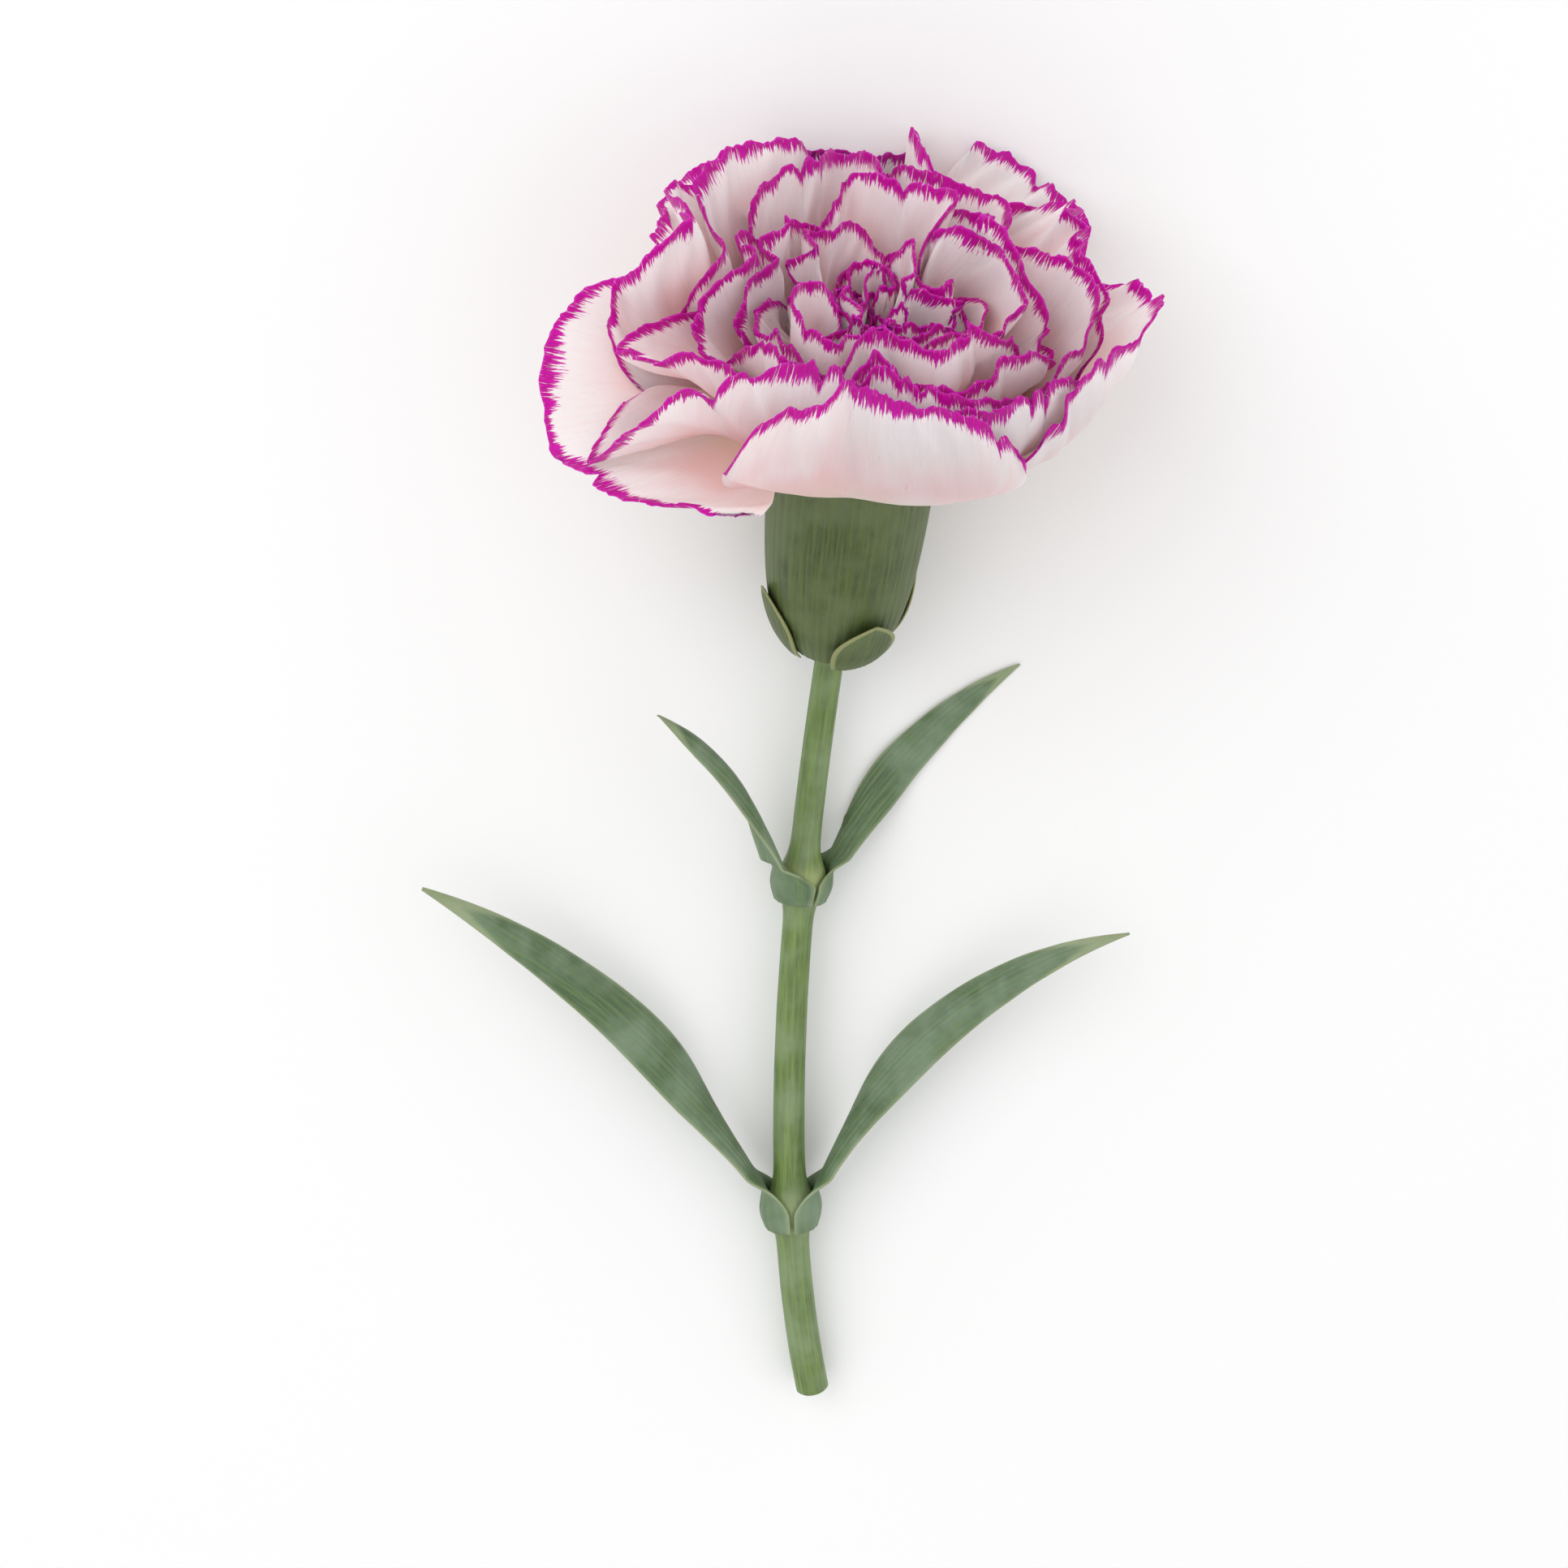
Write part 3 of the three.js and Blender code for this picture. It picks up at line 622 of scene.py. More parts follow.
def veined_tree():
    """Raises fine parallel veins along a green sheet and gives it its thickness, thinner at its edges."""
    tree, given, result = geometry_tree("Veined sheet", [
        ("Vein pitch", "NodeSocketFloat", 0.6),
        ("Vein depth", "NodeSocketFloat", 0.00004),
        ("Thickness", "NodeSocketFloat", 0.0005),
        ("Material", "NodeSocketMaterial", None),
    ])
    taper = kept_as(tree, "taper")
    turns = maths(tree, "DIVIDE", kept_as(tree, "across"), given["Vein pitch"])
    wave = maths(tree, "SINE", maths(tree, "MULTIPLY", turns, 2 * math.pi))
    ridge = maths(tree, "MULTIPLY", maths(tree, "MULTIPLY", wave, ranged(tree, taper, 0.4, 0.8)),
                  given["Vein depth"])
    ribbed = pushed(tree, given["Geometry"], normal_of(tree), ridge)
    thickness = maths(tree, "MULTIPLY", given["Thickness"], taper)
    tree.links.new(closed_sheet(tree, ribbed, thickness, given["Material"]), result["Geometry"])
    return tree


def stalk_tree():
    """Grows a round, slightly uneven stalk along each line, as thick as the line's points say. The stalk
    keeps its straightened place in millimetres as the attribute straight."""
    tree, given, result = geometry_tree("Round stalk along a line", [
        ("Facets", "NodeSocketInt", 40),
        ("Grain depth", "NodeSocketFloat", 0.00003),
        ("Girth", "NodeSocketFloat", 1.9),
        ("Seed", "NodeSocketFloat", 3.0),
        ("Material", "NodeSocketMaterial", None),
    ])
    line = add(tree, "GeometryNodeMeshToCurve", {"Mesh": given["Geometry"]})
    ring = add(tree, "GeometryNodeCurvePrimitiveCircle", {"Resolution": given["Facets"], "Radius": 1.0})
    at = tree.nodes.new("GeometryNodeInputPosition").outputs[0]
    marked = add(tree, "GeometryNodeStoreNamedAttribute",
                 {"Geometry": ring.outputs["Curve"], "Name": "round", "Value": at}, data_type="FLOAT_VECTOR")
    skin = add(tree, "GeometryNodeCurveToMesh", {
        "Curve": line.outputs[0], "Profile Curve": marked.outputs[0], "Scale": kept_as(tree, "girth"),
        "Fill Caps": True,
    })
    x, y, _ = parts_of(tree, scaled(tree, kept_as(tree, "round", "FLOAT_VECTOR"), given["Girth"]))
    straight = add(tree, "ShaderNodeCombineXYZ", {0: x, 1: y, 2: kept_as(tree, "distance")}).outputs[0]
    kept = add(tree, "GeometryNodeStoreNamedAttribute",
               {"Geometry": skin.outputs[0], "Name": "straight", "Value": straight}, data_type="FLOAT_VECTOR")
    drawn = stretched(tree, straight, (1.0, 1.0, 0.12))
    grain = add(tree, "ShaderNodeTexNoise",
                {"Vector": drawn, "W": given["Seed"], "Scale": 1.4, "Detail": 2.0},
                noise_dimensions="4D").outputs[0]
    raised = maths(tree, "MULTIPLY", maths(tree, "SUBTRACT", grain, 0.5), given["Grain depth"])
    uneven = pushed(tree, kept.outputs[0], normal_of(tree), raised)
    corners = tree.nodes.new("GeometryNodeInputMeshFaceNeighbors").outputs["Vertex Count"]
    side = add(tree, "FunctionNodeCompare", {2: corners, 3: 5}, data_type="INT", operation="LESS_THAN")
    tree.links.new(finished(tree, uneven, side.outputs[0], given["Material"]), result["Geometry"])
    return tree


# ---- Finishes -----------------------------------------------------------------------------------


def linear(red, green, blue):
    """A colour given as it looks, from 0 to 255, as the light that it stands for."""
    shares = (red / 255, green / 255, blue / 255)
    return tuple(((c + 0.055) / 1.055) ** 2.4 if c > 0.04 else c / 12.92 for c in shares)


def finish(name, roughness, **sockets):
    """A material with its shader's sockets set: a socket's name has _ for a space."""
    material = bpy.data.materials.new(name)
    material.use_nodes = True
    tree = material.node_tree
    shader = tree.nodes["Principled BSDF"]
    shader.inputs["Roughness"].default_value = roughness
    for socket, value in sockets.items():
        shader.inputs[socket.replace("_", " ")].default_value = value
    return material, tree, shader


def bumped(tree, shader, height, strength, distance):
    bump = add(tree, "ShaderNodeBump", {"Height": height, "Strength": strength, "Distance": distance})
    tree.links.new(bump.outputs[0], shader.inputs["Normal"])


def petal_finish(colours):
    """Cream petals that turn pink inwards from the margin, which is painted shade of the bloom's depths, with
    a deep coloured margin that runs inwards in fine streaks, and soft pink veins.
    Distances are in millimetres along the margin and inwards from it."""
    material, tree, shader = finish(
        "Petal", 0.5, Subsurface_Weight=0.85, Subsurface_Scale=0.0018, Subsurface_Radius=(1.0, 0.88, 0.84),
        Sheen_Weight=0.05, Sheen_Roughness=0.4, Specular_IOR_Level=0.2)
    place = add(tree, "ShaderNodeUVMap", uv_map="margin_mm").outputs[0]
    across, inward, _ = parts_of(tree, place)

    def streaks(scale, stretch, detail, roughness):
        at = add(tree, "ShaderNodeCombineXYZ", {0: across, 1: maths(tree, "MULTIPLY", inward, stretch)})
        return noise(tree, at.outputs[0], scale, detail, roughness, "2D")

    slow = streaks(0.16, 0.0, 1.0, 0.5)
    comb = streaks(5.6, 0.07, 2.5, 0.62)
    solid = ranged(tree, slow, 0.3, 0.7, *SOLID_MARGIN, "LINEAR")
    run = ranged(tree, slow, 0.3, 0.7, *STREAK_LENGTH, "LINEAR")
    depth = maths(tree, "DIVIDE", maths(tree, "SUBTRACT", inward, solid), run)
    over = maths(tree, "SUBTRACT", comb, ranged(tree, depth, 0.0, 1.0, 0.28, 0.78, "LINEAR"))
    margin = ranged(tree, over, -0.05, 0.10)
    veins = streaks(1.3, 0.06, 3.0, 0.65)
    cloud = noise(tree, place, 0.09, dimensions="2D")
    # Painted shade: from 2 to 11 mm inwards from the margin the petal turns pink, standing for the pink shade
    # deep in the bloom where the petals light each other through. The same pink also colours the veins
    # further down.
    pale = blended(tree, ranged(tree, inward, 2.0, 11.0), colours.pale, colours.shade_and_vein_pink)
    pale = blended(tree, ranged(tree, cloud, 0.4, 0.8, 0.0, 0.55), pale, colours.pale)
    pale = blended(tree, ranged(tree, inward, 9.0, 22.0), pale, colours.throat)
    pale = blended(tree, ranged(tree, veins, 0.45, 0.8, 0.0, 0.22), pale, colours.shade_and_vein_pink)
    deep = blended(tree, ranged(tree, comb, 0.35, 0.7), colours.margin_dark, colours.margin)
    deep = blended(tree, ranged(tree, inward, 0.8, 3.5, 0.0, 0.35), deep, colours.streak)
    tree.links.new(blended(tree, margin, pale, deep), shader.inputs["Base Color"])
    cells = streaks(9.0, 0.8, 2.0, 0.5)
    height = maths(tree, "ADD", maths(tree, "MULTIPLY", veins, 0.8), maths(tree, "MULTIPLY", cells, 0.12))
    bumped(tree, shader, height, 0.35, 0.00025)
    return material


def object_noise(tree, scale, detail=2.0, roughness=0.5):
    return noise(tree, tree.nodes.new("ShaderNodeTexCoord").outputs["Object"], scale, detail, roughness)


def green_finish(name):
    return finish(name, 0.5, Subsurface_Weight=0.12, Subsurface_Scale=0.0008, Specular_IOR_Level=0.4)


def waxed(tree, shader, colour, grain, bump_distance):
    """Lays the thin greyish wax of a carnation's green parts over a colour, rubbed off here and there."""
    cloud, fine = object_noise(tree, 150.0, 3.0, 0.6), object_noise(tree, 2600.0)
    rubbed = ranged(tree, maths(tree, "ADD", cloud, maths(tree, "MULTIPLY", grain, 0.35)), 0.5, 0.85)
    tree.links.new(colour(rubbed), shader.inputs["Base Color"])
    tree.links.new(ranged(tree, rubbed, 0.0, 1.0, 0.62, 0.42, "LINEAR"), shader.inputs["Roughness"])
    bumped(tree, shader, maths(tree, "ADD", grain, maths(tree, "MULTIPLY", fine, 0.3)), 0.4, bump_distance)


def sheet_finish(name, colours, margin_axis):
    """A green sheet with fine lengthwise lines. Its thin margin is paler: on a calyx that is the edge that
    the second axis of its flat map starts from, and on a blade both its sides."""
    material, tree, shader = green_finish(name)
    place = add(tree, "ShaderNodeUVMap", uv_map="flat_mm").outputs[0]
    lines = noise(tree, stretched(tree, place, (1.0, 0.035, 1.0)), 2.6, 4.0, 0.7, "2D")
    if margin_axis:
        thin = ranged(tree, parts_of(tree, place)[1], 0.1, 0.9, 1.0, 0.0)
    else:
        edge = add(tree, "ShaderNodeAttribute", attribute_name="taper").outputs["Fac"]
        thin = ranged(tree, edge, 0.55, 0.72, 1.0, 0.0)

    def colour(rubbed):
        green = blended(tree, ranged(tree, lines, 0.35, 0.65), colours.deep, colours.fresh)
        green = blended(tree, ranged(tree, rubbed, 0.0, 1.0, 0.62, 0.0, "LINEAR"), green, colours.wax)
        return blended(tree, maths(tree, "MULTIPLY", thin, 0.5), green, colours.margin)

    waxed(tree, shader, colour, lines, 0.0002)
    return material


def stalk_finish(name, colours):
    """A green stalk with lengthwise lines, paler rings at its nodes and a moist pale cut face."""
    material, tree, shader = green_finish(name)
    straight = add(tree, "ShaderNodeAttribute", attribute_name="straight").outputs["Vector"]
    lines = noise(tree, stretched(tree, straight, (1.0, 1.0, 0.05)), 2.2, 4.0, 0.65)
    x, y, distance = parts_of(tree, straight)
    flat = add(tree, "ShaderNodeCombineXYZ", {0: x, 1: y}).outputs[0]
    from_middle = add(tree, "ShaderNodeVectorMath", {0: flat}, operation="LENGTH").outputs["Value"]
    cut = ranged(tree, from_middle, 1.66, 1.84, 1.0, 0.0)
    strands = add(tree, "ShaderNodeTexVoronoi", {"Vector": flat, "Scale": 3.4}).outputs["Distance"]

    def close_to(value, middle, near, far):
        away = maths(tree, "ABSOLUTE", maths(tree, "SUBTRACT", value, middle))
        return ranged(tree, away, near, far, 1.0, 0.0)

    ringed = close_to(from_middle, 1.25, 0.0, 0.4)
    fibre = maths(tree, "MULTIPLY", ranged(tree, strands, 0.1, 0.45, 1.0, 0.0), ringed)
    node_ring = maths(tree, "MAXIMUM", *(close_to(distance, node / MM, 0.4, 3.2) for node in colours.nodes))

    def colour(rubbed):
        green = blended(tree, ranged(tree, lines, 0.35, 0.65), colours.deep, colours.fresh)
        green = blended(tree, maths(tree, "MULTIPLY", node_ring, 0.6), green, colours.node)
        green = blended(tree, ranged(tree, rubbed, 0.0, 1.0, 0.55, 0.0, "LINEAR"), green, colours.wax)
        return blended(tree, cut, green, blended(tree, fibre, colours.pith, colours.fresh))

    waxed(tree, shader, colour, lines, 0.00025)
    return material


def pistil_finish(colours):
    """A pale green ovary that runs out into two white styles."""
    material, tree, shader = finish("Pistil", 0.45, Subsurface_Weight=0.3, Subsurface_Scale=0.001)
    straight = add(tree, "ShaderNodeAttribute", attribute_name="straight").outputs["Vector"]
    height = parts_of(tree, straight)[2]
    cloud = object_noise(tree, 900.0, 3.0)
    green = blended(tree, ranged(tree, cloud, 0.35, 0.7), colours.ovary, colours.ovary_light)
    styled = blended(tree, ranged(tree, height, 7.0, 11.0), green, colours.style)
    tree.links.new(styled, shader.inputs["Base Color"])
    bumped(tree, shader, cloud, 0.3, 0.0002)
    return material


# ---- Settings -----------------------------------------------------------------------------------


def length_of(name, description, default):
    return bpy.props.FloatProperty(name=name, description=description, default=default, unit="LENGTH",
                                   precision=5)


def angle_of(name, description, default):
    return bpy.props.FloatProperty(name=name, description=description, default=math.radians(default),
                                   subtype="ANGLE")


def count_of(name, description, default):
    return bpy.props.IntProperty(name=name, description=description, default=default)


def colour_of(name, description, red, green, blue):
    return bpy.props.FloatVectorProperty(name=name, description=description, default=linear(red, green, blue),
                                         subtype="COLOR", size=3, min=0, max=1)


class CalyxSettings(bpy.types.PropertyGroup):
    length: length_of("Length", "From the foot of the calyx to its mouth", 0.027)
    wall: length_of("Wall", "Thickness of the calyx", 0.0007)
    mouth_radius: length_of("Mouth radius", "Outer radius at the mouth", 0.00896)
    foot_radius: length_of("Foot radius", "Outer radius at the foot", 0.0044)
    throat: length_of("Throat", "Radius of the hole in the foot that the stem fills", 0.0019)
    tooth_length: length_of("Tooth length", "How far the teeth stand above the mouth", 0.0055)
    teeth: count_of("Teeth", "How many teeth the calyx has", 5)
    veins: count_of("Veins", "How many fine veins run up the calyx", 45)
    vein_depth: length_of("Vein depth", "Height of a vein", 0.00003)
    deep: colour_of("Deep green", "Between the veins", 54, 68, 26)
    fresh: colour_of("Fresh green", "On the veins", 82, 98, 42)
    wax: colour_of("Wax", "The greyish bloom", 104, 118, 80)
    margin: colour_of("Margin", "The thin edge of the teeth", 176, 178, 122)


class BractSettings(bpy.types.PropertyGroup):
    length: length_of("Length", "Length of a bract", 0.009)
    width: length_of("Width", "Width of a bract", 0.0074)
    thickness: length_of("Thickness", "Thickness of a bract", 0.0004)
    gap: length_of("Gap", "Room between the calyx and the bracts", 0.0003)
    spacing: length_of("Spacing", "Room between one pair and the next", 0.0009)
    vein_pitch: length_of("Vein pitch", "Distance between the veins", 0.00055)
    vein_depth: length_of("Vein depth", "Height of a vein", 0.00003)


class BloomSettings(bpy.types.PropertyGroup):
    tilt: angle_of("Tilt", "How far the bloom looks up from the surface", 24)
    turn: angle_of("Turn", "How far the bloom is turned from the line of the stem", 5)
    thickness: length_of("Petal thickness", "Thickness of a petal", 0.00026)
    tooth_depth: length_of("Tooth depth", "Depth of the fine teeth in a petal's margin", 0.0005)
    tooth_pitch: length_of("Tooth pitch", "Distance between the fine teeth", 0.001)
    fold_strength: bpy.props.FloatProperty(
        name="Folds", description="How strongly the petals are folded into each other", default=1.0)
    seed: count_of("Seed", "Which of many blooms this one is", 7)
    columns: count_of("Columns", "Facets across one petal", 144)
    rows: count_of("Rows", "Facets along one petal", 44)
    pale: colour_of("Pale", "Near the margin", 249, 229, 229)
    # Painted shade: this pink is painted inwards from each petal's margin for the shade deep in the bloom,
    # and it is also the veins' own pink.
    shade_and_vein_pink: colour_of("Blush", "The pink haze and the veins", 248, 187, 187)
    throat: colour_of("Throat", "Deep between the petals", 243, 193, 162)
    margin: colour_of("Margin", "The coloured margin", 184, 0, 150)
    margin_dark: colour_of("Dark margin", "The darkest of the margin", 146, 0, 108)
    streak: colour_of("Streak", "The ends of the streaks", 206, 70, 180)


class PistilSettings(bpy.types.PropertyGroup):
    depth: length_of("Depth", "From the calyx mouth down to the foot of the ovary", 0.0157)
    ovary_radius: length_of("Ovary radius", "Radius of the ovary", 0.0017)
    ovary_height: length_of("Ovary height", "Height of the ovary", 0.0085)
    style_radius: length_of("Style radius", "Radius of a style at its foot", 0.0004)
    style_length: length_of("Style length", "Length of a style", 0.016)
    style_spread: length_of("Style spread", "From the axis to the middle of a style", 0.0007)
    ovary: colour_of("Ovary", "The ovary", 150, 168, 92)
    ovary_light: colour_of("Light ovary", "Its lighter patches", 184, 196, 128)
    style: colour_of("Style", "The styles", 236, 230, 214)


class StemSettings(bpy.types.PropertyGroup):
    radius: length_of("Radius", "Radius at the cut end", 0.0019)
    neck_radius: length_of("Neck radius", "Radius at the calyx", 0.0016)
    node_radius: length_of("Node radius", "Radius of the swollen nodes", 0.0028)
    node_length: length_of("Node length", "Length of a node", 0.005)
    nodes: bpy.props.FloatVectorProperty(
        name="Nodes", description="Where the nodes are, from the cut end", default=(0.024, 0.064), size=2,
        unit="LENGTH")
    bow: length_of("Bow", "How far the stem bows sideways", 0.007)
    rise: length_of("Rise", "How far it lifts off the surface past the cut end", 0.0036)
    neck_bend: length_of("Neck bend", "How much of the neck turns up to the bloom", 0.009)
    cut_edge: length_of("Cut edge", "Width of the rounded edge of the cut", 0.00025)
    grain: length_of("Grain", "Height of the fine lines along the stem", 0.00006)
    deep: colour_of("Deep green", "Between the lines", 82, 104, 52)
    fresh: colour_of("Fresh green", "On the lines", 116, 140, 76)
    wax: colour_of("Wax", "The greyish bloom", 142, 160, 126)
    node: colour_of("Node", "The swollen nodes", 178, 190, 132)
    pith: colour_of("Pith", "The cut face", 222, 228, 180)


class LeafSettings(bpy.types.PropertyGroup):
    thickness: length_of("Thickness", "Thickness of a leaf", 0.0005)
    channel: length_of("Channel", "Depth of the channel along a leaf", 0.001)
    clasp: bpy.props.FloatProperty(
        name="Clasp", description="How far round the stem each side of a leaf's foot reaches, in degrees",
        default=86)
    vein_pitch: length_of("Vein pitch", "Distance between the veins", 0.0006)
    vein_depth: length_of("Vein depth", "Height of a vein", 0.00003)
    deep: colour_of("Deep green", "Between the veins", 70, 94, 60)
    fresh: colour_of("Fresh green", "On the veins", 98, 122, 80)
    wax: colour_of("Wax", "The greyish bloom", 134, 154, 130)
    margin: colour_of("Margin", "The thin edge", 168, 180, 140)


class StageSettings(bpy.types.PropertyGroup):
    elevation: angle_of("Camera height", "How far above the horizon the camera looks down from", 72)
    distance: length_of("Camera distance", "From the camera to the middle of the flower", 0.475)
    floor: colour_of("Floor", "The floor", 243, 243, 243)


# ---- Making the pieces --------------------------------------------------------------------------


def put(obj):
    bpy.context.scene.collection.objects.link(obj)
    return obj


def sheet_object(name, points, uv, map_name, wrapped=False):
    """An open sheet as an object: points is a grid in millimetres, with its own flat map uv. A wrapped
    sheet's last column is its first one again."""

    def squares(grid):
        return np.stack([grid[:-1, :-1], grid[:-1, 1:], grid[1:, 1:], grid[1:, :-1]], axis=-1).reshape(-1, 4)

    rows, columns = points.shape[:2]
    index = np.arange(rows * columns).reshape(rows, columns)
    corners = squares(index)
    if wrapped:
        kept = np.arange(rows * (columns - 1)).reshape(rows, columns - 1)
        index = np.concatenate([kept, kept[:, :1]], axis=1)
        points = points[:, :-1]
    faces = squares(index)
    mesh = bpy.data.meshes.new(name)
    mesh.vertices.add(points.shape[0] * points.shape[1])
    mesh.vertices.foreach_set("co", (points.reshape(-1, 3) * MM).astype(np.float32).ravel())
    mesh.loops.add(faces.size)
    mesh.loops.foreach_set("vertex_index", faces.ravel())
    mesh.polygons.add(len(faces))
    mesh.polygons.foreach_set("loop_start", np.arange(0, faces.size, 4))
    mesh.update(calc_edges=True)
    layer = mesh.uv_layers.new(name=map_name)
    layer.data.foreach_set("uv", uv.reshape(-1, 2)[corners.ravel()].astype(np.float32).ravel())
    mesh.validate()
    return put(bpy.data.objects.new(name, mesh))


def line_object(name, lines):
    """Open lines as one object. Each line has rows of x, y, z, radius and distance, all in millimetres."""
    rows = np.concatenate(lines)
    edges, start = [], 0
    for line in lines:
        edges += [(start + i, start + i + 1) for i in range(len(line) - 1)]
        start += len(line)
    mesh = bpy.data.meshes.new(name)
    mesh.from_pydata((rows[:, :3] * MM).tolist(), edges, [])
    obj = put(bpy.data.objects.new(name, mesh))
    with_floats(obj, "girth", rows[:, 3] * MM)
    with_floats(obj, "distance", rows[:, 4])
    return obj


def with_vectors(obj, name, vectors):
    attribute = obj.data.attributes.new(name, "FLOAT_VECTOR", "POINT")
    attribute.data.foreach_set("vector", vectors.astype(np.float32).ravel())


def with_floats(obj, name, values):
    attribute = obj.data.attributes.new(name, "FLOAT", "POINT")
    attribute.data.foreach_set("value", np.asarray(values).astype(np.float32).ravel())


def green_sheet(name, points, uv, taper, tree, values, wrapped=False):
    """A sheet grown with the veined tree: taper says how thick it is from 0 to 1."""
    obj = sheet_object(name, points, uv, "flat_mm", wrapped)
    last = -1 if wrapped else None
    with_floats(obj, "across", uv[:, :last, 0])
    with_floats(obj, "taper", taper[:, :last])
    grown_with(obj, tree, values)
    return obj


def stands_for(obj, node):
    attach(obj, "root")
    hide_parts(node)


def in_world(points, place):
    """Points of the bloom's frame in the row frame, in millimetres."""
    return points @ place[0].T + place[1]


class CARNATION_OT_petals(bpy.types.Operator):
    """Grow the petals ring by ring"""

    bl_idname = "carnation.petals"
    bl_label = "Petals"

    def execute(self, context):
        flower = context.scene.carnation
        settings = flower.bloom
        bloom = bloom_plan(settings)
        place = bloom_place(flower)
        grown, grid = {}, (settings.columns, settings.rows)
        for ring_index, ring in enumerate(RINGS):
            for index in range(ring["count"]):
                grown[ring_index, index] = petal_surface(ring_index, index, bloom, *grid)
        deepest = min(in_world(points, place)[..., 2].min() for points, _ in grown.values())
        tree = petal_tree()
        material = petal_finish(settings)
        for (ring_index, index), (points, uv) in grown.items():
            world = placed(points, place, deepest)
            name = f"petal_{ring_index + 1}_{index + 1}"
            obj = sheet_object(f"bloom_{name}", world, uv, "margin_mm")
            along = np.gradient(world, axis=0)
            along /= np.linalg.norm(along, axis=2, keepdims=True) + 1e-9
            with_vectors(obj, "along", along)
            with_vectors(obj, "margin", np.concatenate([uv, np.zeros((*uv.shape[:2], 1))], axis=2))
            grown_with(obj, tree, {
                "Tooth depth": settings.tooth_depth, "Tooth pitch": settings.tooth_pitch / MM,
                "Thickness": settings.thickness, "Material": material,
            })
            stands_for(obj, name)
        return {"FINISHED"}


class CARNATION_OT_calyx(bpy.types.Operator):
    """Grow the calyx with its teeth, and the bracts at its foot"""

    bl_idname = "carnation.calyx"
    bl_label = "Calyx and bracts"

    def execute(self, context):
        flower = context.scene.carnation
        settings, bracts = flower.calyx, flower.bracts
        bloom = bloom_plan(flower.bloom)
        place = bloom_place(flower)
        tree = veined_tree()
        points, uv = calyx_surface(settings, bloom, *CALYX_GRID)
        around = 2 * math.pi * settings.mouth_radius / MM
        taper = mix(0.4, 1, smooth(-0.2, 2.5, uv[..., 1]))
        obj = green_sheet("calyx_skin", in_world(points, place), uv, taper, tree, {
            "Vein pitch": around / settings.veins, "Vein depth": settings.vein_depth,
            "Thickness": settings.wall, "Material": sheet_finish("Calyx", settings, margin_axis=True),
        }, wrapped=True)
        stands_for(obj, "calyx")
        material = sheet_finish("Bract", settings, margin_axis=False)
        for pair in range(2):
            for side, half_turn in (("a", 0.0), ("b", math.pi)):
                heading = BRACT_TURN + half_turn + pair * math.pi / 2
                points, uv, margin = bract_surface(pair, heading, settings, bracts, *BRACT_GRID)
                node = f"bract_{pair + 1}{side}"
                taper = mix(0.45, 1, smooth(0, 1.2, margin))
                obj = green_sheet(f"scale_{node}", in_world(points, place), uv, taper, tree, {
                    "Vein pitch": bracts.vein_pitch / MM, "Vein depth": bracts.vein_depth,
                    "Thickness": bracts.thickness, "Material": material,
                })
                stands_for(obj, node)
        return {"FINISHED"}


class CARNATION_OT_pistil(bpy.types.Operator):
    """Grow the ovary and its two styles in the middle of the bloom"""

    bl_idname = "carnation.pistil"
    bl_label = "Pistil"

    def execute(self, context):
        flower = context.scene.carnation
        settings = flower.pistil
        place = bloom_place(flower)
        foot, tall, wide = -settings.depth / MM, settings.ovary_height / MM, settings.ovary_radius / MM
        f = np.linspace(0, 1, 24)
        plump = np.interp(f, [0, 0.06, 0.25, 0.65, 1], [0.6, 0.86, 1, 0.85, 0.5]) * wide
        lines = [np.stack([0 * f, 0 * f, foot + tall * f, plump, tall * f], axis=1)]
        long_, thin = settings.style_length / MM, settings.style_radius / MM
        for side in (-1, 1):
            x = side * settings.style_spread / MM * np.ones_like(f)
            y = 0.08 * np.sin(3 * f * math.pi + side)
            z = foot + tall - 1 + long_ * f
            lines.append(np.stack([x, y, z, thin * mix(1, 0.55, f), tall - 1 + long_ * f], axis=1))
        for line in lines:
            line[:, :3] = in_world(line[:, :3], place)
        obj = line_object("ovary_and_styles", lines)
        grown_with(obj, stalk_tree(), {
            "Facets": 24, "Grain depth": 0.0, "Girth": wide, "Material": pistil_finish(settings),
        })
        stands_for(obj, "pistil")
        return {"FINISHED"}


class CARNATION_OT_stem(bpy.types.Operator):
    """Grow the stem from its cut end to the foot on which the petals stand"""

    bl_idname = "carnation.stem"
    bl_label = "Stem"

    def execute(self, context):
        flower = context.scene.carnation
        settings, calyx = flower.stem, flower.calyx
        path = StemPath(flower, bloom_place(flower))
        clearance = flower.bracts.gap / MM
        edge = settings.cut_edge / MM
        rows = [(0.0, settings.radius / MM - edge), (edge, settings.radius / MM)]
        rows += [(d, stem_radius(d, path.length, settings)) for d in np.arange(0.8, path.length - 0.2, 0.6)]
        inside = path.length + 2 * calyx.wall / MM + clearance
        top = path.length + calyx.length / MM - flower.pistil.depth / MM - 2 * clearance
        rows += [(path.length, settings.neck_radius / MM), (inside - 0.02, settings.neck_radius / MM)]
        for f in np.linspace(0, 1, 20):
            d = mix(inside, top, f)
            room = calyx_radius(d - path.length - calyx.length / MM, calyx) - calyx.wall / MM - 2 * clearance
            rows.append((d, room * mix(0.7, 1, smooth(0, 0.3, f))))
        line = np.array([(*path.at(d), radius, d) for d, radius in rows])
        obj = line_object("stalk", [line])
        material = stalk_finish("Stem", settings)
        grown_with(obj, stalk_tree(), {
            "Facets": 56, "Grain depth": settings.grain, "Girth": settings.radius / MM, "Material": material,
        })
        stands_for(obj, "stem")
        return {"FINISHED"}


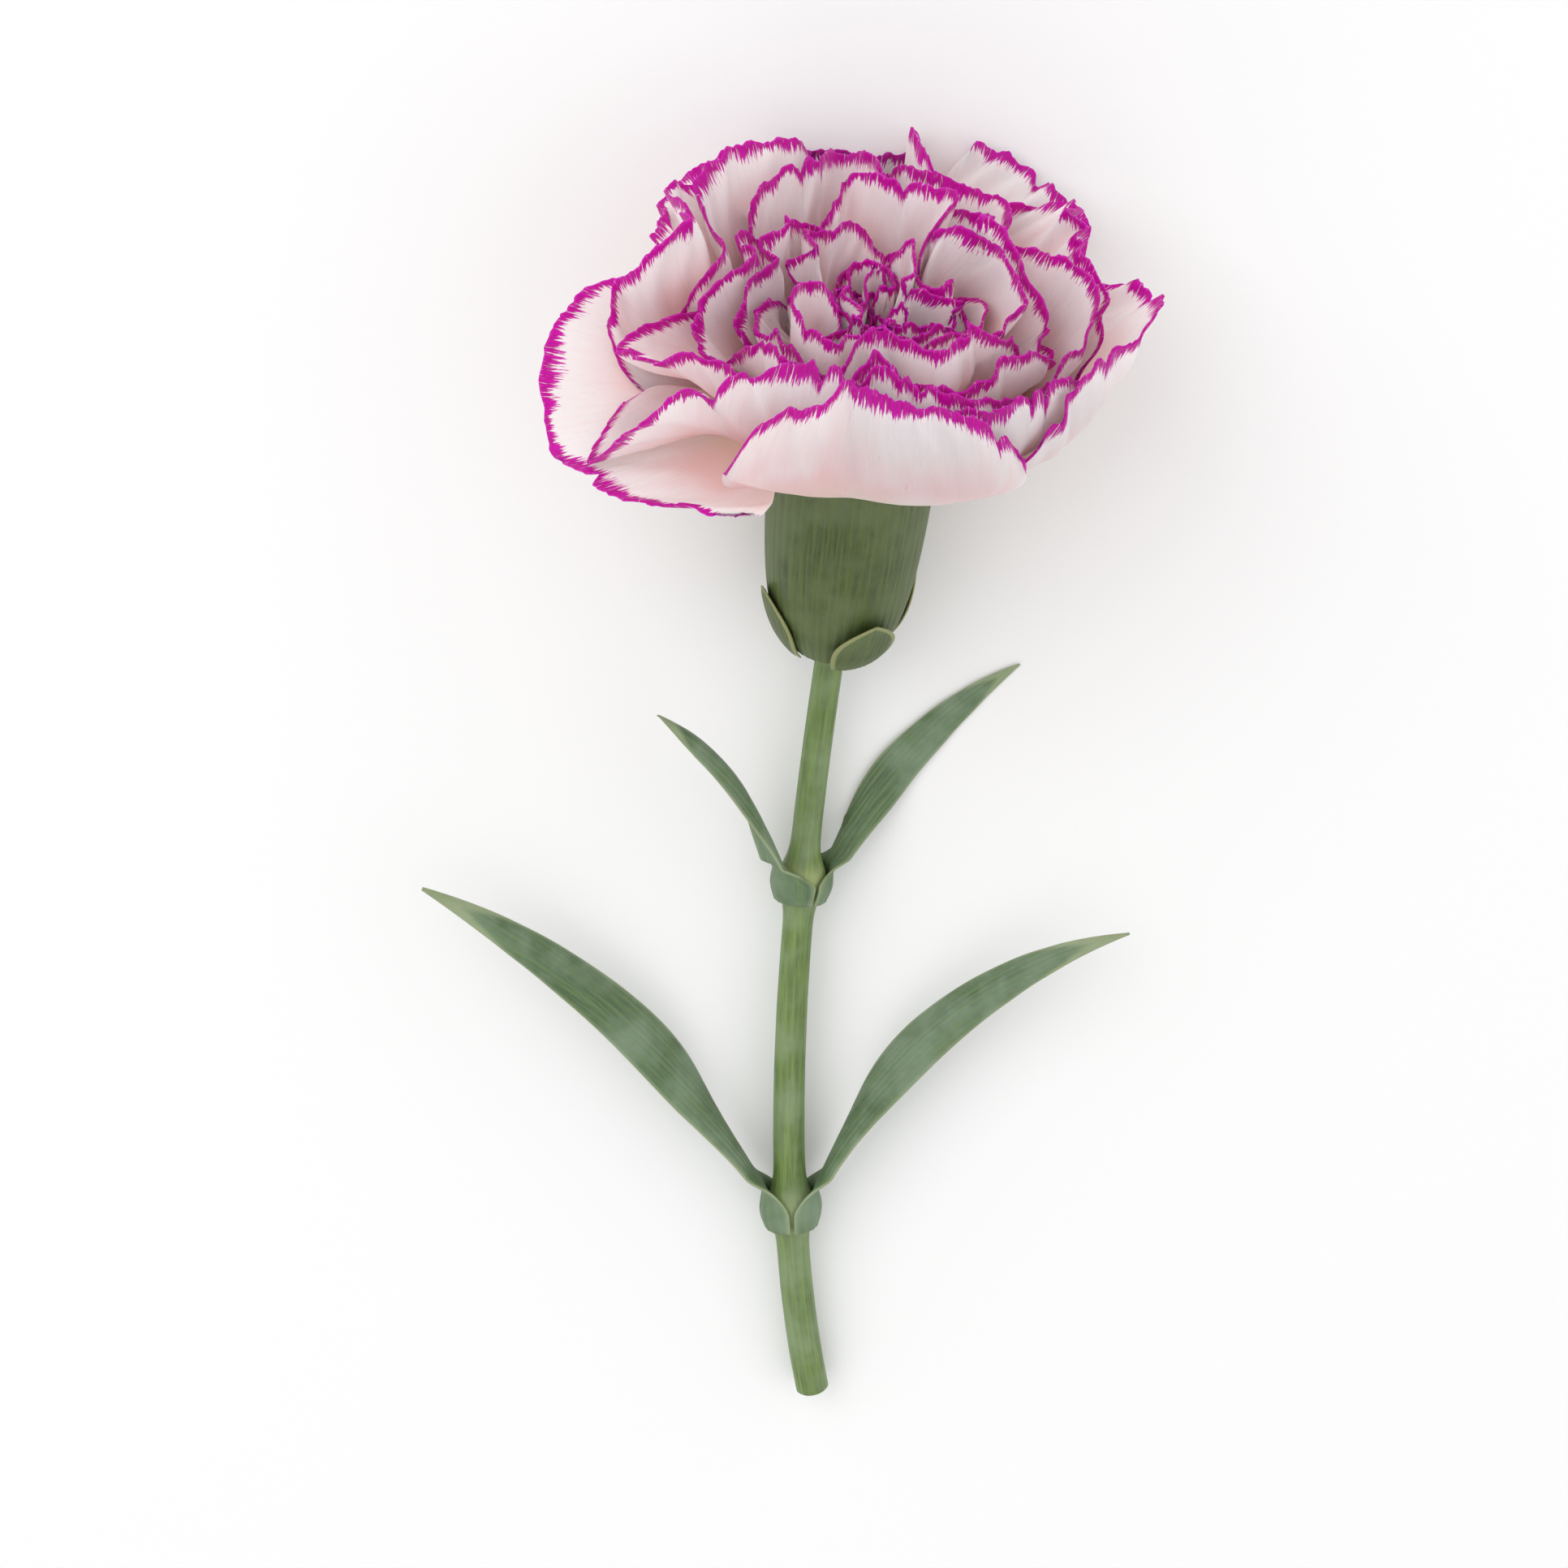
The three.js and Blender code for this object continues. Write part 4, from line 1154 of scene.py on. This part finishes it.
class CARNATION_OT_leaves(bpy.types.Operator):
    """Grow the leaves in pairs from the stem's nodes"""

    bl_idname = "carnation.leaves"
    bl_label = "Leaves"

    def execute(self, context):
        flower = context.scene.carnation
        settings = flower.leaves
        path = StemPath(flower, bloom_place(flower))
        tree = veined_tree()
        material = sheet_finish("Leaf", settings, margin_axis=False)
        for i, leaf in enumerate(LEAVES):
            points, uv, taper = leaf_surface(leaf, path, flower.stem, settings, *LEAF_GRID)
            node = f"leaf_{i + 1}"
            obj = green_sheet(f"blade_{node}", points, uv, taper, tree, {
                "Vein pitch": settings.vein_pitch / MM, "Vein depth": settings.vein_depth,
                "Thickness": settings.thickness, "Material": material,
            })
            stands_for(obj, node)
        return {"FINISHED"}


class CARNATION_OT_stage(bpy.types.Operator):
    """Lay the floor and set up the light and the camera"""

    bl_idname = "carnation.stage"
    bl_label = "Stage"

    def execute(self, context):
        scene = context.scene
        settings = scene.carnation.stage
        mesh = bpy.data.meshes.new("floor")
        corners = [(x * FLOOR_HALF, y * FLOOR_HALF, 0) for x, y in ((-1, -1), (1, -1), (1, 1), (-1, 1))]
        mesh.from_pydata(corners, [], [(0, 1, 2, 3)])
        floor = put(bpy.data.objects.new("floor", mesh))
        material, _, shader = finish("Floor", 0.7)
        shader.inputs["Base Color"].default_value = (*settings.floor, 1)
        mesh.materials.append(material)
        world = bpy.data.worlds.new("studio")
        world.use_nodes = True
        world.node_tree.nodes["Background"].inputs[0].default_value = (1, 1, 1, 1)
        world.node_tree.nodes["Background"].inputs[1].default_value = AMBIENT
        scene.world = world
        for name, at, size, watts in LAMPS:
            lamp = bpy.data.lights.new(name, "AREA")
            lamp.size, lamp.energy = size, watts
            light = put(bpy.data.objects.new(name, lamp))
            light.location = at
            light.rotation_euler = (-Vector(at)).to_track_quat("-Z", "Y").to_euler()
        camera = put(bpy.data.objects.new("camera", bpy.data.cameras.new("camera")))
        camera.data.lens = LENS
        elevation = settings.elevation
        back = Vector((0, math.cos(elevation), math.sin(elevation)))
        up = Vector((0, math.sin(elevation), -math.cos(elevation)))
        target = Vector(LOOKED_AT)
        camera.matrix_world = Matrix.Translation(target + back * settings.distance) @ Matrix(
            (up.cross(back), up, back)).transposed().to_4x4()
        scene.camera = camera
        scene.view_settings.view_transform = "Standard"
        return {"FINISHED"}


class FlowerSettings(bpy.types.PropertyGroup):
    bloom: bpy.props.PointerProperty(type=BloomSettings, name="Petals")
    calyx: bpy.props.PointerProperty(type=CalyxSettings, name="Calyx")
    bracts: bpy.props.PointerProperty(type=BractSettings, name="Bracts")
    pistil: bpy.props.PointerProperty(type=PistilSettings, name="Pistil")
    stem: bpy.props.PointerProperty(type=StemSettings, name="Stem")
    leaves: bpy.props.PointerProperty(type=LeafSettings, name="Leaves")
    stage: bpy.props.PointerProperty(type=StageSettings, name="Stage")


class CARNATION_PT_panel(bpy.types.Panel):
    """The pieces of the carnation, in the order in which they are made"""

    bl_label = "Cut carnation"
    bl_idname = "CARNATION_PT_panel"
    bl_space_type = "VIEW_3D"
    bl_region_type = "UI"
    bl_category = "Carnation"

    def draw(self, context):
        flower = context.scene.carnation
        for group in FlowerSettings.__annotations__:
            box = self.layout.box()
            box.label(text=group.capitalize())
            settings = getattr(flower, group)
            for name in settings.__annotations__:
                box.prop(settings, name)
        for operator in OPERATORS:
            self.layout.operator(operator.bl_idname)


OPERATORS = (CARNATION_OT_stage, CARNATION_OT_petals, CARNATION_OT_calyx, CARNATION_OT_pistil,
             CARNATION_OT_stem, CARNATION_OT_leaves)
GROUPS = (BloomSettings, CalyxSettings, BractSettings, PistilSettings, StemSettings, LeafSettings,
          StageSettings)
CLASSES = (*GROUPS, FlowerSettings, *OPERATORS, CARNATION_PT_panel)


def register():
    for kind in CLASSES:
        bpy.utils.register_class(kind)
    bpy.types.Scene.carnation = bpy.props.PointerProperty(type=FlowerSettings)


def unregister():
    del bpy.types.Scene.carnation
    for kind in reversed(CLASSES):
        bpy.utils.unregister_class(kind)


def main():
    register()
    bpy.ops.carnation.stage()
    bpy.ops.carnation.petals()
    bpy.ops.carnation.calyx()
    bpy.ops.carnation.pistil()
    bpy.ops.carnation.stem()
    bpy.ops.carnation.leaves()


if __name__ == "__main__":
    main()
